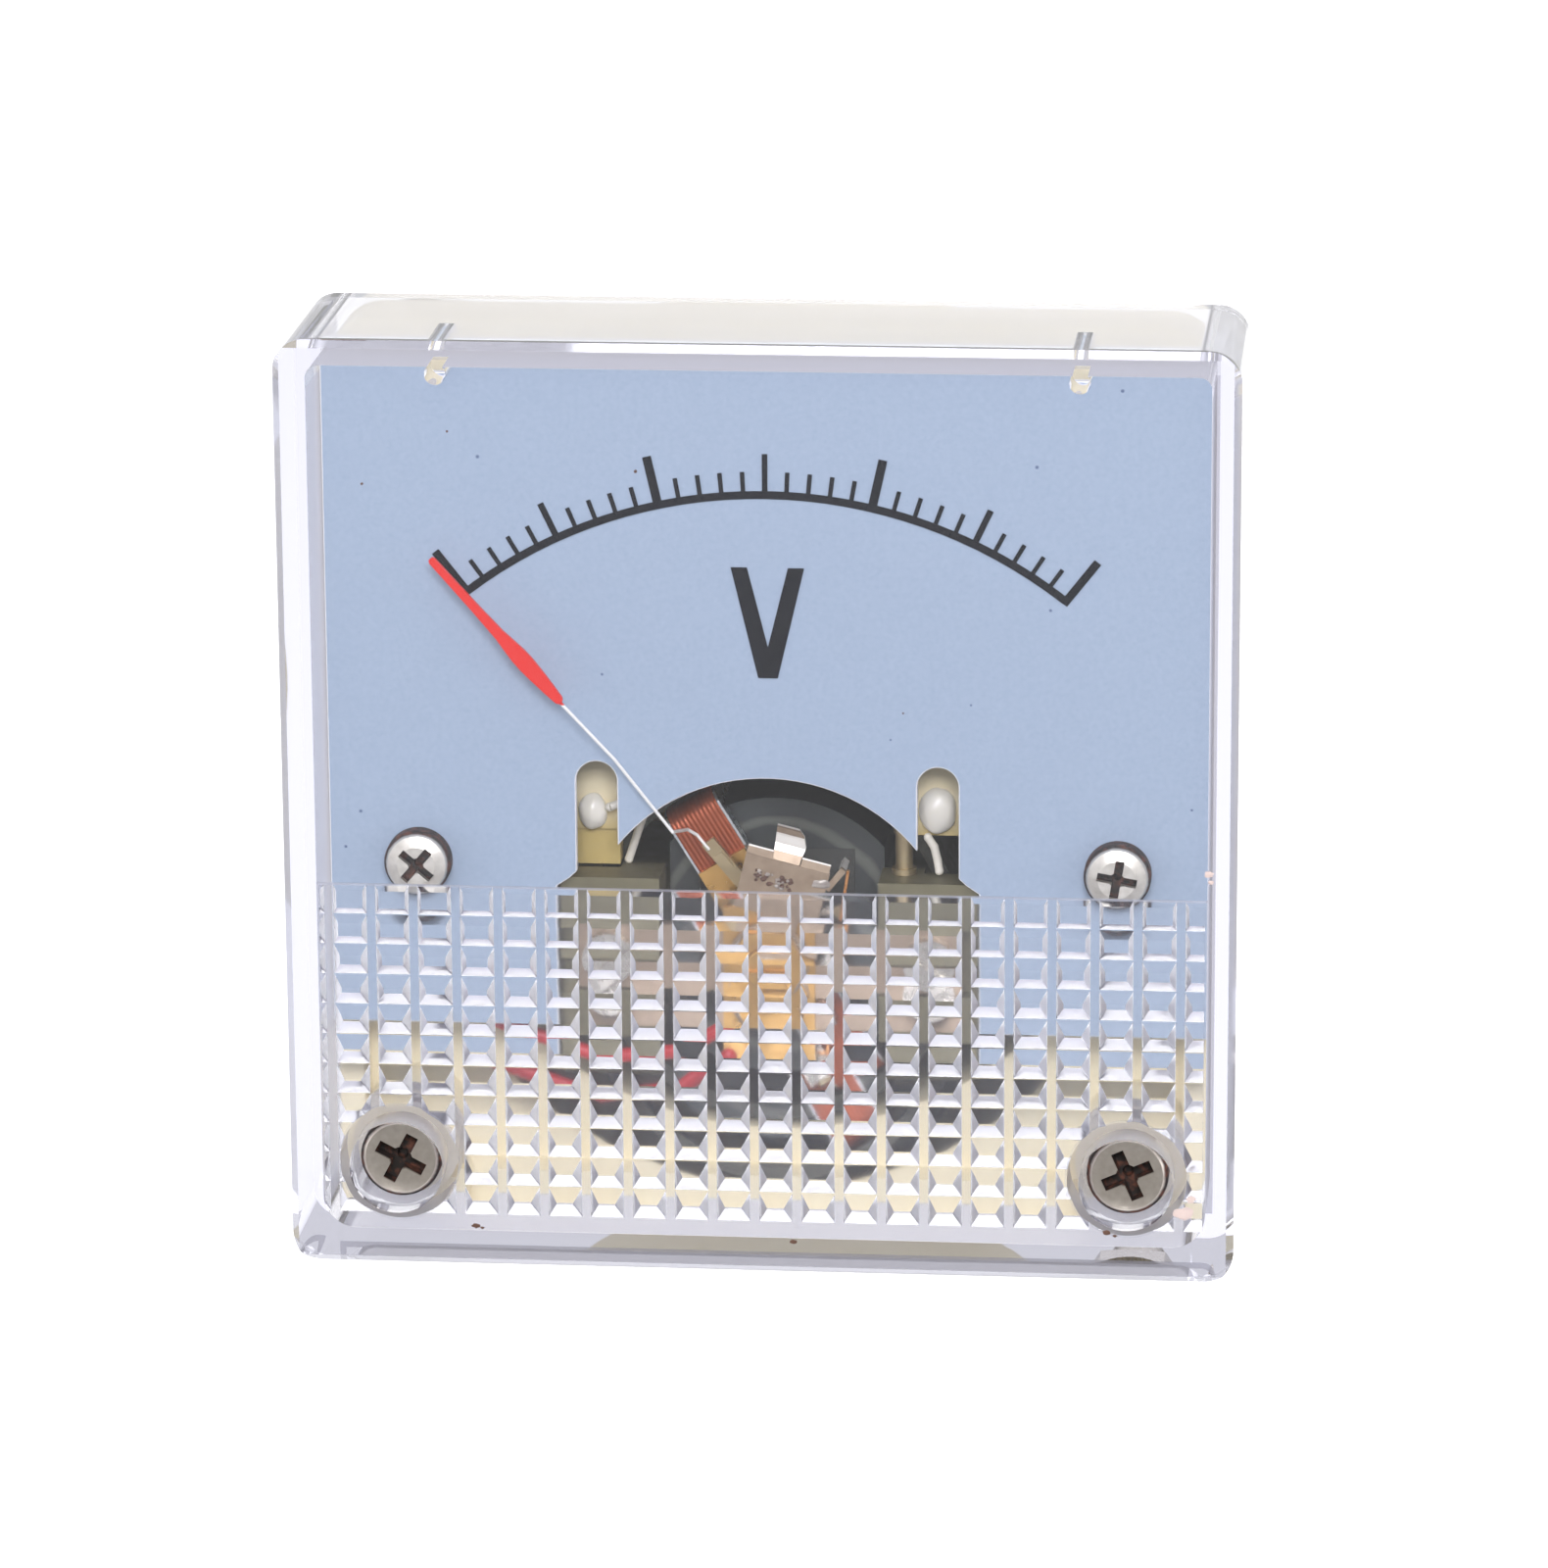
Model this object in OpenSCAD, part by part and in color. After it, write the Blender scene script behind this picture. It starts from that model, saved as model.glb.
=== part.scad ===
// Square moving-coil panel voltmeter, 45 mm front, 38 mm round body.
// Frame: +Z up, the scale faces -Y, panel seat at y = 0 on the body axis.

/* [Housing] */
// Width of the square front
front_width = 45; // [44.5:0.5:47]
// Height of the square front
front_height = 45; // [44.5:0.5:47]
// Depth of the clear skirt in front of the panel
housing_depth = 11; // [10.8:0.2:13]
// Corner radius of the clear cover
cover_corner = 1.5; // [0.8:0.1:1.8]
// Wall thickness of the clear skirt
cover_wall = 1.4; // [1.2:0.1:1.5]
// Thickness of the clear window
window_thickness = 1.8; // [1.6:0.1:2]
// Bevel round the front edge
front_bevel = 0.35; // [0.2:0.05:0.6]
// Radius of the two top nubs inside the cover
nub_radius = 0.5; // [0.3:0.05:0.6]
// Distance of each nub from the centre line
nub_x = 15; // [13:0.5:17]

/* [Faceted panel] */
// Column pitch of the hipped dents
facet_pitch_x = 2.02; // [1.9:0.01:2.2]
// Row pitch of the hipped dents
facet_pitch_z = 1.487; // [1.4:0.01:1.6]
// Shift of the columns to the right
facet_shift_x = 0.68; // [0:0.02:1]
// Height of the upper edge of the faceted panel
facet_top_z = -3.95; // [-5:0.05:-3.5]
// Flat see-through land between columns
facet_land_x = 0.42; // [0.3:0.02:0.6]
// Flat land between rows
facet_land_z = 0.04; // [0.02:0.01:0.1]
// Full depth of a dent
facet_depth = 0.46; // [0.3:0.02:0.46]
// Depth of the first row of dents
facet_first_depth = 0.2; // [0.1:0.02:0.3]
// Depth gained by each following row
facet_depth_step = 0.07; // [0.04:0.01:0.1]
// Slope of the side facets in degrees
facet_side_slope = 49; // [44:1:52]
// Slope of the upper and lower facets in degrees
facet_row_slope = 34; // [33:1:36]

/* [Cover screws] */
// Distance of each cover screw from the side edge of the front
cover_screw_inset_x = 5.1; // [4.9:0.1:5.5]
// Distance of each cover screw from the bottom edge of the front
cover_screw_inset_z = 4.8; // [4.7:0.1:5.3]
// Outer radius of each clear screw boss
cover_boss_radius = 2.85; // [2.6:0.05:3]
// Radius of the well for the screw head
cover_well_radius = 2.25; // [2.1:0.05:2.4]
// Radius of the cover screw head
cover_head_radius = 1.95; // [1.7:0.05:2]
// Radius of the cover screw shank
cover_shank_radius = 1.1; // [0.9:0.05:1.2]

/* [Base] */
// Depth of the ivory tray inside the skirt
tray_depth = 3.8; // [3.4:0.1:4.2]
// Thickness of the flange that lies on the panel
flange_thickness = 1.8; // [1.6:0.1:2]
// Gap between the tray and the clear skirt
tray_gap = 0.1; // [0.05:0.05:0.2]
// Corner radius of the tray
tray_corner = 2.2; // [1.8:0.1:3]
// Diameter of the round body
body_diameter = 38; // [38:0.1:38.6]
// Length of the round body behind the panel
body_length = 18; // [18:0.5:22]
// Length of the bevel round the rear rim of the body
rear_bevel = 1.2; // [0.8:0.1:1.4]
// Wall thickness of the round body
body_wall = 1; // [0.9:0.05:1.1]
// Thickness of the back wall
back_wall = 1.6; // [1.4:0.1:2]

/* [Dial] */
// Gap between each side edge of the dial and the clear skirt
dial_side_gap = 0.1; // [0.05:0.05:0.3]
// Gap between the top edge of the dial and the clear skirt
dial_top_gap = 0.75; // [0.7:0.05:1.2]
// Bottom edge of the dial plate
dial_bottom = -11.9; // [-12.5:0.1:-11.5]
// Thickness of the dial plate
dial_thickness = 0.5; // [0.4:0.05:0.5]
// Setback of the dial behind the front face
dial_setback = 5.55; // [5.5:0.05:5.6]
// Radius of the arched opening round the movement
dome_radius = 9.15; // [9:0.05:9.3]
// Half width of the opening below the arch
opening_half_width = 10.1; // [10:0.05:10.3]
// Width of the two guide slots
slot_width = 1.97; // [1.8:0.05:2.1]
// Distance of the slots from the centre line
slot_x = 8.14; // [8:0.05:8.3]
// Top of the two guide slots
slot_top = 1.25; // [1:0.05:1.5]
// Distance of each dial screw from the side edge of the dial
dial_screw_inset = 4.3; // [4.1:0.1:4.5]
// Height of the dial screws
dial_screw_z = -3.75; // [-4:0.05:-3.5]
// Radius of the dial screw head
dial_head_radius = 1.6; // [1.4:0.05:1.8]

/* [Scale] */
// Inner radius of the scale arc
arc_radius = 22.79; // [22:0.05:23.2]
// Width of the scale arc line
arc_line = 0.37; // [0.3:0.01:0.45]
// Half angle of the scale in degrees
scale_half_angle = 38.1; // [36:0.1:38.5]
// Number of scale divisions
divisions = 30; // [20:10:30]
// Thickness of the printed ink
ink = 0.04; // [0.03:0.01:0.06]
// Height of the unit letter
unit_height = 5.36; // [4:0.1:5.6]
// Height of the foot of the unit letter
unit_foot_z = 5.5; // [5:0.1:6]

/* [Movement] */
// Height of the pointer axis
pivot_z = -8.6; // [-8.7:0.05:-8.5]
// Outer radius of the iron yoke ring
yoke_outer_radius = 9.1; // [9:0.05:9.1]
// Wall of the iron yoke ring
yoke_wall = 0.75; // [0.65:0.05:0.75]
// Radius of the pole sleeve
core_radius = 6.9; // [6.7:0.05:6.9]
// Half width between the flats of the pole sleeve
core_flat = 5.2; // [5:0.05:5.2]
// Depth of the core along the pointer axis
core_depth = 7; // [6.6:0.1:7]
// Setback of the core behind the panel seat
core_front_y = -0.65; // [-0.65:0.05:-0.6]
// Half width of the block magnet
magnet_half_width = 3.75; // [3.5:0.05:3.9]
// Half height of the block magnet
magnet_half_height = 4.4; // [4.2:0.05:4.5]
// Width of the moving coil
coil_width = 2.8; // [2.6:0.05:2.8]
// Thickness of the coil former
former_thickness = 0.3; // [0.25:0.05:0.3]
// Thickness of the copper winding
winding_thickness = 0.7; // [0.6:0.05:0.7]
// Air gap inside and outside the coil
air_gap = 0.2; // [0.15:0.05:0.2]
// Angle of the coil at the zero mark in degrees
coil_rest_angle = -31.5; // [-32:0.5:-30.5]
// Angle at which the zero regulator stands in degrees
regulator_angle = 14; // [10:0.5:14]

/* [Back fittings] */
// Distance of each terminal from the centre line
terminal_x = 8.5; // [8:0.1:9]
// Height of the terminals
terminal_z = 5; // [4:0.1:6]
// Nominal diameter of the terminal studs
terminal_diameter = 4; // [3.5:0.1:4]
// Free length of the terminal studs behind the body
terminal_length = 10; // [9:0.5:14]
// Distance of each panel stud from the body axis, both ways
panel_stud_offset = 17.2; // [17:0.1:17.4]
// Nominal diameter of the panel studs
panel_stud_diameter = 3; // [2.5:0.1:3]
// Free length of the panel studs behind the seat
panel_stud_length = 12; // [10:0.5:16]
// Room left for the panel under the washers
panel_room = 2.5; // [1:0.5:4]

/* [Hidden] */
$fn = 64;
front_y = -housing_depth;
window_y = front_y + window_thickness;
inner_w = front_width - 2 * cover_wall;
inner_h = front_height - 2 * cover_wall;
dial_y = front_y + dial_setback;
dial_width = inner_w - 2 * dial_side_gap;
dial_top = inner_h / 2 - dial_top_gap;
dial_screw_x = dial_width / 2 - dial_screw_inset;
cover_screw_x = front_width / 2 - cover_screw_inset_x;
cover_screw_z = cover_screw_inset_z - front_height / 2;
pad_x = dial_width / 2 - 5.5;
pad_z = dial_top - 2.35;
dial_back = dial_y + dial_thickness;
tray_w = inner_w - 2 * tray_gap;
tray_h = inner_h - 2 * tray_gap;
body_r = body_diameter / 2;
bore_r = body_r - body_wall;
floor_y = body_length - back_wall;
fit = 0.02;
seat = 0.05;
boss_floor_y = front_y + 3;
boss_end_y = front_y + 5.4;
post_y = boss_end_y + 0.1;
head_y = boss_floor_y - 1.5;
yoke_inner_radius = yoke_outer_radius - yoke_wall;
coil_in = core_radius + air_gap;
coil_mid = coil_in + former_thickness;
coil_out = coil_mid + winding_thickness;
core_back_y = core_front_y + core_depth;
coil_in_front = core_front_y - 0.3;
coil_in_back = core_back_y + 0.3;
coil_front = coil_in_front - former_thickness - winding_thickness;
coil_back = coil_in_back + former_thickness + winding_thickness;
cheek_in = core_flat + seat;
cheek_half = 3.95;
web_half = 2.4;
block_y = dial_back + seat;
shelf_y = -3;
ear_back = -1.5;
bridge_front = -4.6;
bridge_back = -3.9;
crossbar_y = coil_back + 1.65;
crossbar_back = crossbar_y + 1.4;
pillar_x = 12;
M3_nut = 5.5 / 2 / cos(30);
M4_nut = 7 / 2 / cos(30);
stack_y = body_length + 1;
washer_thickness = 0.8;
lug_thickness = 0.48;
terminal_nut_y = stack_y + washer_thickness + lug_thickness + 2 * fit;
terminal_nut_height = 3.2;
panel_washer_thickness = 0.6;
panel_nut_y = panel_room + panel_washer_thickness + fit;
panel_nut_height = 2.4;
neck = 0.2;
post_front = -3;
resistor_y = floor_y - 4;

// ---- helpers -------------------------------------------------------------

// Round bar along Y from y0 to y1.
module bar_y(r, y0, y1, x = 0, z = 0) {
  translate([x, y0, z]) rotate([-90, 0, 0]) cylinder(r = r, h = y1 - y0);
}

// Cone along Y from radius r0 at y0 to radius r1 at y1.
module cone_y(r0, r1, y0, y1, x = 0, z = 0) {
  translate([x, y0, z]) rotate([-90, 0, 0]) cylinder(r1 = r0, r2 = r1, h = y1 - y0);
}

// Six-sided bar along Y.
module hex_y(r, y0, y1, x = 0, z = 0) {
  translate([x, y0, z]) rotate([-90, 0, 0]) cylinder(r = r, h = y1 - y0, $fn = 6);
}

// Outline drawn in X and Z, filled from y0 to y1.
module plate_y(y0, y1) {
  translate([0, y1, 0]) rotate([90, 0, 0]) linear_extrude(height = y1 - y0) children();
}

// Outline drawn in Y and Z, filled from x0 to x1.
module plate_x(x0, x1) {
  translate([x0, 0, 0]) rotate([90, 0, 90]) linear_extrude(height = x1 - x0) children();
}

// Box from its two corners.
module box(x0, x1, y0, y1, z0, z1) {
  translate([x0, y0, z0]) cube([x1 - x0, y1 - y0, z1 - z0]);
}

// Rectangle with its own corner radius above and below.
module soft_rect(w, h, rt, rb) {
  translate([-w / 2, -h / 2 + rb]) square([w, h - rt - rb]);
  translate([-w / 2 + rt, 0]) square([w - 2 * rt, h / 2]);
  translate([-w / 2 + rb, -h / 2]) square([w - 2 * rb, h / 2]);
  for (s = [-1, 1]) {
    translate([s * (w / 2 - rt), h / 2 - rt]) circle(r = rt);
    translate([s * (w / 2 - rb), -h / 2 + rb]) circle(r = rb);
  }
}

// Turn about the pointer axis, clockwise as seen from the front.
module about_pivot(a = 0) {
  translate([0, 0, pivot_z]) rotate([0, a, 0]) children();
}

// Round wire through a list of points.
module wire(points, r) {
  for (i = [0 : len(points) - 2]) {
    a = points[i];
    b = points[i + 1];
    d = b - a;
    l = norm(d);
    translate(a)
      rotate([0, acos(d[2] / l), atan2(d[1], d[0])])
        cylinder(r = r, h = l);
  }
  // slightly proud ball at each bend and end
  for (p = points) translate(p) sphere(r = r * 1.06);
}

// Screw shank along Y with a groove at each turn of its thread.
module thread_y(r, y0, y1, pitch, x = 0, z = 0) {
  n = floor((y1 - y0) / pitch);
  deep = 0.3 * pitch;
  profile = concat(
    [[0, 0], [r - deep, 0]],
    [for (i = [0 : n - 1], k = [0 : 2])
      k == 0 ? [r, (i + 0.11) * pitch] :
      k == 1 ? [r, (i + 0.89) * pitch] : [r - deep, (i + 1) * pitch]],
    [[r - deep, y1 - y0 + 0.01], [0, y1 - y0 + 0.01]]);
  translate([x, y0, z]) rotate([-90, 0, 0]) rotate_extrude() polygon(profile);
}

// Nut along Y with both rims chamfered.
module nut_y(r, bore, y0, y1, x, z) {
  difference() {
    intersection() {
      hex_y(r, y0, y1, x, z);
      translate([x, y0, z]) rotate([-90, 0, 0]) rotate_extrude()
        polygon([[0, -1], [r - 0.75, -0.15], [r + 0.1, 0.4], [r + 0.1, y1 - y0 - 0.4],
          [r - 0.75, y1 - y0 + 0.15], [0, y1 - y0 + 1]]);
    }
    bar_y(bore, y0 - 1, y1 + 1, x, z);
  }
}

// Cross recess for a screw head whose face is at y.
module cross_y(y, arm, wide, deep, turn, x, z) {
  translate([x, y - 0.1, z]) rotate([0, turn, 0]) {
    box(-arm, arm, 0, deep + 0.1, -wide / 2, wide / 2);
    box(-wide / 2, wide / 2, 0, deep + 0.1, -arm, arm);
    rotate([-90, 0, 0]) cylinder(r1 = wide * 0.95, r2 = wide * 0.3, h = deep + 0.35);
  }
}

// ---- clear cover ---------------------------------------------------------

// Inside surface of the faceted panel, seen in X: steep side slopes.
module facet_columns() {
  half = (facet_pitch_x - facet_land_x) / 2;
  peak = half * tan(facet_side_slope);
  n = 11;
  pts = [for (i = [-n : n], k = [0, 1, 2])
    let (c = facet_shift_x + i * facet_pitch_x)
    [c + (k - 1) * half, k == 1 ? window_y - peak : window_y]];
  x_end = facet_shift_x + n * facet_pitch_x + half;
  x_start = facet_shift_x - n * facet_pitch_x - half;
  translate([0, 0, -front_height / 2])
    linear_extrude(height = front_height / 2)
      polygon(concat([[x_start, window_y + 0.3]], pts, [[x_end, window_y + 0.3]]));
}

// The same surface seen in Z: rows whose depth grows downwards.
module facet_rows() {
  rows = floor((facet_top_z + inner_h / 2) / facet_pitch_z);
  pts = [for (k = [0 : rows - 1], j = [0 : 3])
    let (d = min(facet_depth, facet_first_depth + k * facet_depth_step))
    let (top = facet_top_z - k * facet_pitch_z - facet_land_z / 2)
    let (low = facet_top_z - (k + 1) * facet_pitch_z + facet_land_z / 2)
    let (run = d / tan(facet_row_slope))
    j == 0 ? [window_y, top] :
    j == 1 ? [window_y - d, top - run] :
    j == 2 ? [window_y - d, low + run] : [window_y, low]];
  end_z = facet_top_z - rows * facet_pitch_z;
  plate_x(-inner_w / 2 + 0.12, inner_w / 2 - 0.12)
    polygon(concat([[window_y + 0.3, facet_top_z]], [[window_y, facet_top_z]], pts,
      [[window_y, end_z], [window_y + 0.3, end_z]]));
}

module front_cover() color([0.9, 0.9, 0.95, 0.4]) difference() {
  union() {
    difference() {
      plate_y(front_y, 0) soft_rect(front_width, front_height, cover_corner, cover_corner);
      plate_y(window_y, 1) soft_rect(inner_w, inner_h, 0.6, 1.6);
      intersection() {
        facet_columns();
        facet_rows();
      }
    }
    for (s = [-1, 1]) {
      bar_y(cover_boss_radius, front_y + 0.9, boss_end_y, s * cover_screw_x, cover_screw_z);
      bar_y(nub_radius, window_y - 0.5, dial_y - 0.1, s * nub_x, inner_h / 2 - 0.35);
    }
  }
  for (s = [-1, 1]) {
    bar_y(cover_well_radius, front_y - 1, boss_floor_y, s * cover_screw_x, cover_screw_z);
    bar_y(cover_shank_radius + 0.2, front_y, 0, s * cover_screw_x, cover_screw_z);
    translate([s * front_width / 2, front_y, 0]) rotate([0, 0, 45])
      cube([front_bevel * sqrt(2), front_bevel * sqrt(2), front_height + 2], center = true);
    translate([0, front_y, s * front_height / 2]) rotate([45, 0, 0])
      cube([front_width + 2, front_bevel * sqrt(2), front_bevel * sqrt(2)], center = true);
  }
}

module cover_screw(s, turn) color("Silver") difference() {
  union() {
    bar_y(cover_head_radius, head_y + 0.25, boss_floor_y - fit, s * cover_screw_x, cover_screw_z);
    cone_y(cover_head_radius - 0.25, cover_head_radius, head_y, head_y + 0.25,
      s * cover_screw_x, cover_screw_z);
    thread_y(cover_shank_radius, boss_floor_y - 0.1, -2.6, 0.55, s * cover_screw_x, cover_screw_z);
  }
  cross_y(head_y, 1.25, 0.62, 0.8, turn, s * cover_screw_x, cover_screw_z);
}

// ---- ivory base ----------------------------------------------------------

module base_posts() {
  for (s = [-1, 1]) {
    // dial posts grow out of the flange and run down the bore
    bar_y(2.3, dial_back, -0.9, s * dial_screw_x, dial_screw_z);
    intersection() {
      bar_y(2.3, -2, 6, s * dial_screw_x, dial_screw_z);
      bar_y(bore_r + 0.5, -2, 6);
    }
    box(s > 0 ? dial_screw_x : -bore_r - 0.3, s > 0 ? bore_r + 0.3 : -dial_screw_x, -1.7, 6,
      dial_screw_z - 1.2, dial_screw_z + 1.2);
    // pads under the upper corners of the dial
    bar_y(1.3, dial_back, -1, s * pad_x, pad_z);
    // cover screw posts
    bar_y(2.6, post_y, -1, s * cover_screw_x, cover_screw_z);
    // pillars for the movement
    bar_y(2, ear_back, floor_y + 0.2, s * pillar_x, pivot_z);
    // guide posts behind the slots, each on a rib from the flange
    box(s > 0 ? 7 : -9.9, s > 0 ? 9.9 : -7, post_front, -1.6, -2.75, 2.2);
    box(s > 0 ? 9.4 : -19, s > 0 ? 19 : -9.4, post_front, -0.9, -0.6, 2.2);
    // raised seat round each terminal
    bar_y(4.4, floor_y + 0.1, stack_y, s * terminal_x, terminal_z);
  }
  // foot of the left guide post, set back a little
  box(-9.9, -7.35, post_front + 0.2, -1.6, pivot_z + cheek_half + 0.1, -2.7);
  // barrier between the terminals, and polarity marks beside them
  box(-0.6, 0.6, body_length - 0.1, body_length + 2.2, terminal_z - 5, terminal_z + 5);
  box(-12.8, -9.6, body_length - 0.1, body_length + 0.4, -3.4, -2.8);
  box(-11.5, -10.9, body_length - 0.1, body_length + 0.4, -4.7, -1.5);
  box(9.6, 12.8, body_length - 0.1, body_length + 0.4, -3.4, -2.8);
}

module case_base() color("Ivory") difference() {
  union() {
    difference() {
      union() {
        plate_y(-tray_depth, 0) soft_rect(tray_w, tray_h, tray_corner, tray_corner);
        bar_y(body_r, -0.2, body_length - rear_bevel);
        cone_y(body_r, body_r - 0.4, body_length - rear_bevel, body_length);
      }
      plate_y(-tray_depth - 1, -flange_thickness)
        soft_rect(tray_w - 2.4, tray_h - 2.4, tray_corner - 1, tray_corner - 1);
      bar_y(bore_r, -flange_thickness - 0.5, floor_y);
    }
    base_posts();
  }
  for (s = [-1, 1]) {
    bar_y(0.97, dial_back - 1, 3.5, s * dial_screw_x, dial_screw_z);
    bar_y(cover_shank_radius + fit, post_y - 1, -2.4, s * cover_screw_x, cover_screw_z);
    bar_y(0.97, ear_back - 1, 6, s * pillar_x, pivot_z);
    bar_y(terminal_diameter / 2 + fit, floor_y - 1, stack_y + 1, s * terminal_x, terminal_z);
    bar_y(panel_stud_diameter / 2 + fit, -1, 1, -s * panel_stud_offset, s * panel_stud_offset);
    bar_y(2.3 + fit, -1.4 - fit, -0.4 + fit, -s * panel_stud_offset, s * panel_stud_offset);
  }
}

// ---- dial ----------------------------------------------------------------

module dial_window() {
  intersection() {
    translate([0, pivot_z]) circle(r = dome_radius);
    translate([-12, -5]) square([24, 12]);
  }
  for (s = [-1, 1]) {
    translate([s * slot_x, slot_top - slot_width / 2]) circle(r = slot_width / 2);
    translate([s * slot_x - slot_width / 2, -5])
      square([slot_width, slot_top - slot_width / 2 + 5]);
    // the opening flares below each slot
    polygon([[s * 8, -4.2], [s * (slot_x + slot_width / 2), -4.2], [s * 9.5, -4.55],
      [s * opening_half_width, -4.95], [s * opening_half_width, -6], [s * 8, -6]]);
  }
  translate([-opening_half_width, dial_bottom - 1])
    square([2 * opening_half_width, -4.95 - dial_bottom + 1]);
}

module dial_plate() color("LightSteelBlue") difference() {
  plate_y(dial_y, dial_back) difference() {
    translate([-dial_width / 2, dial_bottom]) square([dial_width, dial_top - dial_bottom]);
    dial_window();
    for (s = [-1, 1]) translate([s * dial_screw_x, dial_screw_z]) circle(r = 1.05);
  }
}

function tick_top(i) =
  i % divisions == 0 ? arc_radius + 2.6 :
  i * 3 % divisions == 0 ? arc_radius + 2.56 :
  i * 2 % divisions == 0 ? arc_radius + 2.15 :
  i * 6 % divisions == 0 ? arc_radius + 2 : arc_radius + 1.3;

function tick_width(i) =
  i % divisions == 0 ? 0.39 :
  i * 3 % divisions == 0 ? 0.42 :
  i * 2 % divisions == 0 ? 0.26 :
  i * 6 % divisions == 0 ? 0.3 : 0.21;

module dial_scale() color("Black") plate_y(dial_y - ink, dial_y) {
  translate([0, pivot_z]) {
    intersection() {
      difference() {
        circle(r = arc_radius + arc_line);
        circle(r = arc_radius);
      }
      polygon([[0, 0], [-40 * sin(scale_half_angle), 40 * cos(scale_half_angle)],
        [0, 60], [40 * sin(scale_half_angle), 40 * cos(scale_half_angle)]]);
    }
    for (i = [0 : divisions])
      let (foot = arc_radius + (i % divisions == 0 ? 0.02 : arc_line / 2))
        rotate(scale_half_angle * (1 - 2 * i / divisions))
          translate([-tick_width(i) / 2, foot]) square([tick_width(i), tick_top(i) - foot]);
  }
  translate([0.1, unit_foot_z]) polygon([
    [-0.465, 0], [0.465, 0], [1.74, unit_height], [0.97, unit_height],
    [0, 0.28 * unit_height], [-0.97, unit_height], [-1.74, unit_height]]);
}

module dial_screw(s, turn) color("Silver") difference() {
  union() {
    bar_y(dial_head_radius, dial_y - 0.7, dial_y, s * dial_screw_x, dial_screw_z);
    cone_y(dial_head_radius - 0.2, dial_head_radius, dial_y - 1.05, dial_y - 0.7,
      s * dial_screw_x, dial_screw_z);
    cone_y(dial_head_radius - 0.7, dial_head_radius - 0.2, dial_y - 1.25, dial_y - 1.05,
      s * dial_screw_x, dial_screw_z);
    thread_y(0.95, dial_y - 0.1, 1.5, 0.45, s * dial_screw_x, dial_screw_z);
  }
  cross_y(dial_y - 1.25, 0.95, 0.42, 0.7, turn, s * dial_screw_x, dial_screw_z);
}

// ---- fixed part of the movement ------------------------------------------

module yoke_ring() color("DimGray") about_pivot() difference() {
  bar_y(yoke_outer_radius, ear_back + seat, core_back_y);
  bar_y(yoke_inner_radius, ear_back - 1, core_back_y + 1);
}

module pole_sleeve() color("SlateGray") about_pivot() difference() {
  intersection() {
    bar_y(core_radius, core_front_y, core_back_y);
    box(-core_flat, core_flat, core_front_y - 1, core_back_y + 1, -10, 10);
  }
  box(-magnet_half_width - fit, magnet_half_width + fit, core_front_y - 1, core_back_y + 1,
    -magnet_half_height - fit, magnet_half_height + fit);
}

module core_magnet() color("DarkSlateGray") about_pivot()
  box(-magnet_half_width, magnet_half_width, core_front_y + 0.05, core_back_y - 0.05,
    -magnet_half_height, magnet_half_height);

module movement_frame() color("Gray") about_pivot() difference() {
  union() {
    for (s = [-1, 1]) scale([s, 1, 1]) {
      box(cheek_in, 10, block_y, shelf_y, -cheek_half, cheek_half);
      box(cheek_in, 7.3, block_y, -2.15, -cheek_half, cheek_half);
      intersection() {
        box(cheek_in, 9, shelf_y - 0.2, crossbar_back, -web_half, web_half);
        bar_y(yoke_inner_radius - fit, -5, crossbar_back);
      }
      box(8, 13.6, shelf_y, ear_back, -web_half, web_half);
    }
    intersection() {
      box(-9, 9, crossbar_y, crossbar_back, -web_half, web_half);
      bar_y(yoke_inner_radius - fit, -5, crossbar_back);
    }
  }
  box(-11, 11, block_y - 1, bridge_back, -1.65, 1.65);
  bar_y(1.02, crossbar_y - 1, crossbar_back + 1);
  for (s = [-1, 1]) {
    bar_y(1.1, -6, 0, s * pillar_x, 0);
    bar_y(0.72, -5, -1.2, s * 7.7, 0);
  }
}

module movement_screws() color("Silver") about_pivot() for (s = [-1, 1]) difference() {
  union() {
    bar_y(1.7, shelf_y - 1.2, shelf_y, s * pillar_x, 0);
    thread_y(0.95, shelf_y - 0.1, 4.5, 0.45, s * pillar_x, 0);
  }
  cross_y(shelf_y - 1.2, 0.95, 0.4, 0.6, 20 * s, s * pillar_x, 0);
}

module front_bridge() color("DarkGray") about_pivot() difference() {
  plate_y(bridge_front, bridge_back - fit) {
    translate([-9.2, -1.6]) square([18.4, 3.2]);
    circle(r = 2.1);
  }
  bar_y(1.02, -6, -3);
  for (s = [-1, 1]) bar_y(0.8, -6, -3, s * 7.7, 0);
}

module bridge_screws() color("Silver") about_pivot() for (s = [-1, 1]) difference() {
  union() {
    bar_y(1.25, bridge_front - 0.8, bridge_front - fit, s * 7.7, 0);
    bar_y(0.7, bridge_front - 0.1, -1.6, s * 7.7, 0);
  }
  translate([s * 7.7, 0, 0]) rotate([0, 35 * s, 0])
    box(-2, 2, bridge_front - 1, bridge_front - 0.45, -0.17, 0.17);
}

module bush_plate() color("Goldenrod") about_pivot() difference() {
  plate_y(bridge_front - 0.32, bridge_front - fit)
    translate([-2.2, -3.4]) square([4.4, 6]);
  bar_y(1.02, -6, -3);
}

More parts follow.
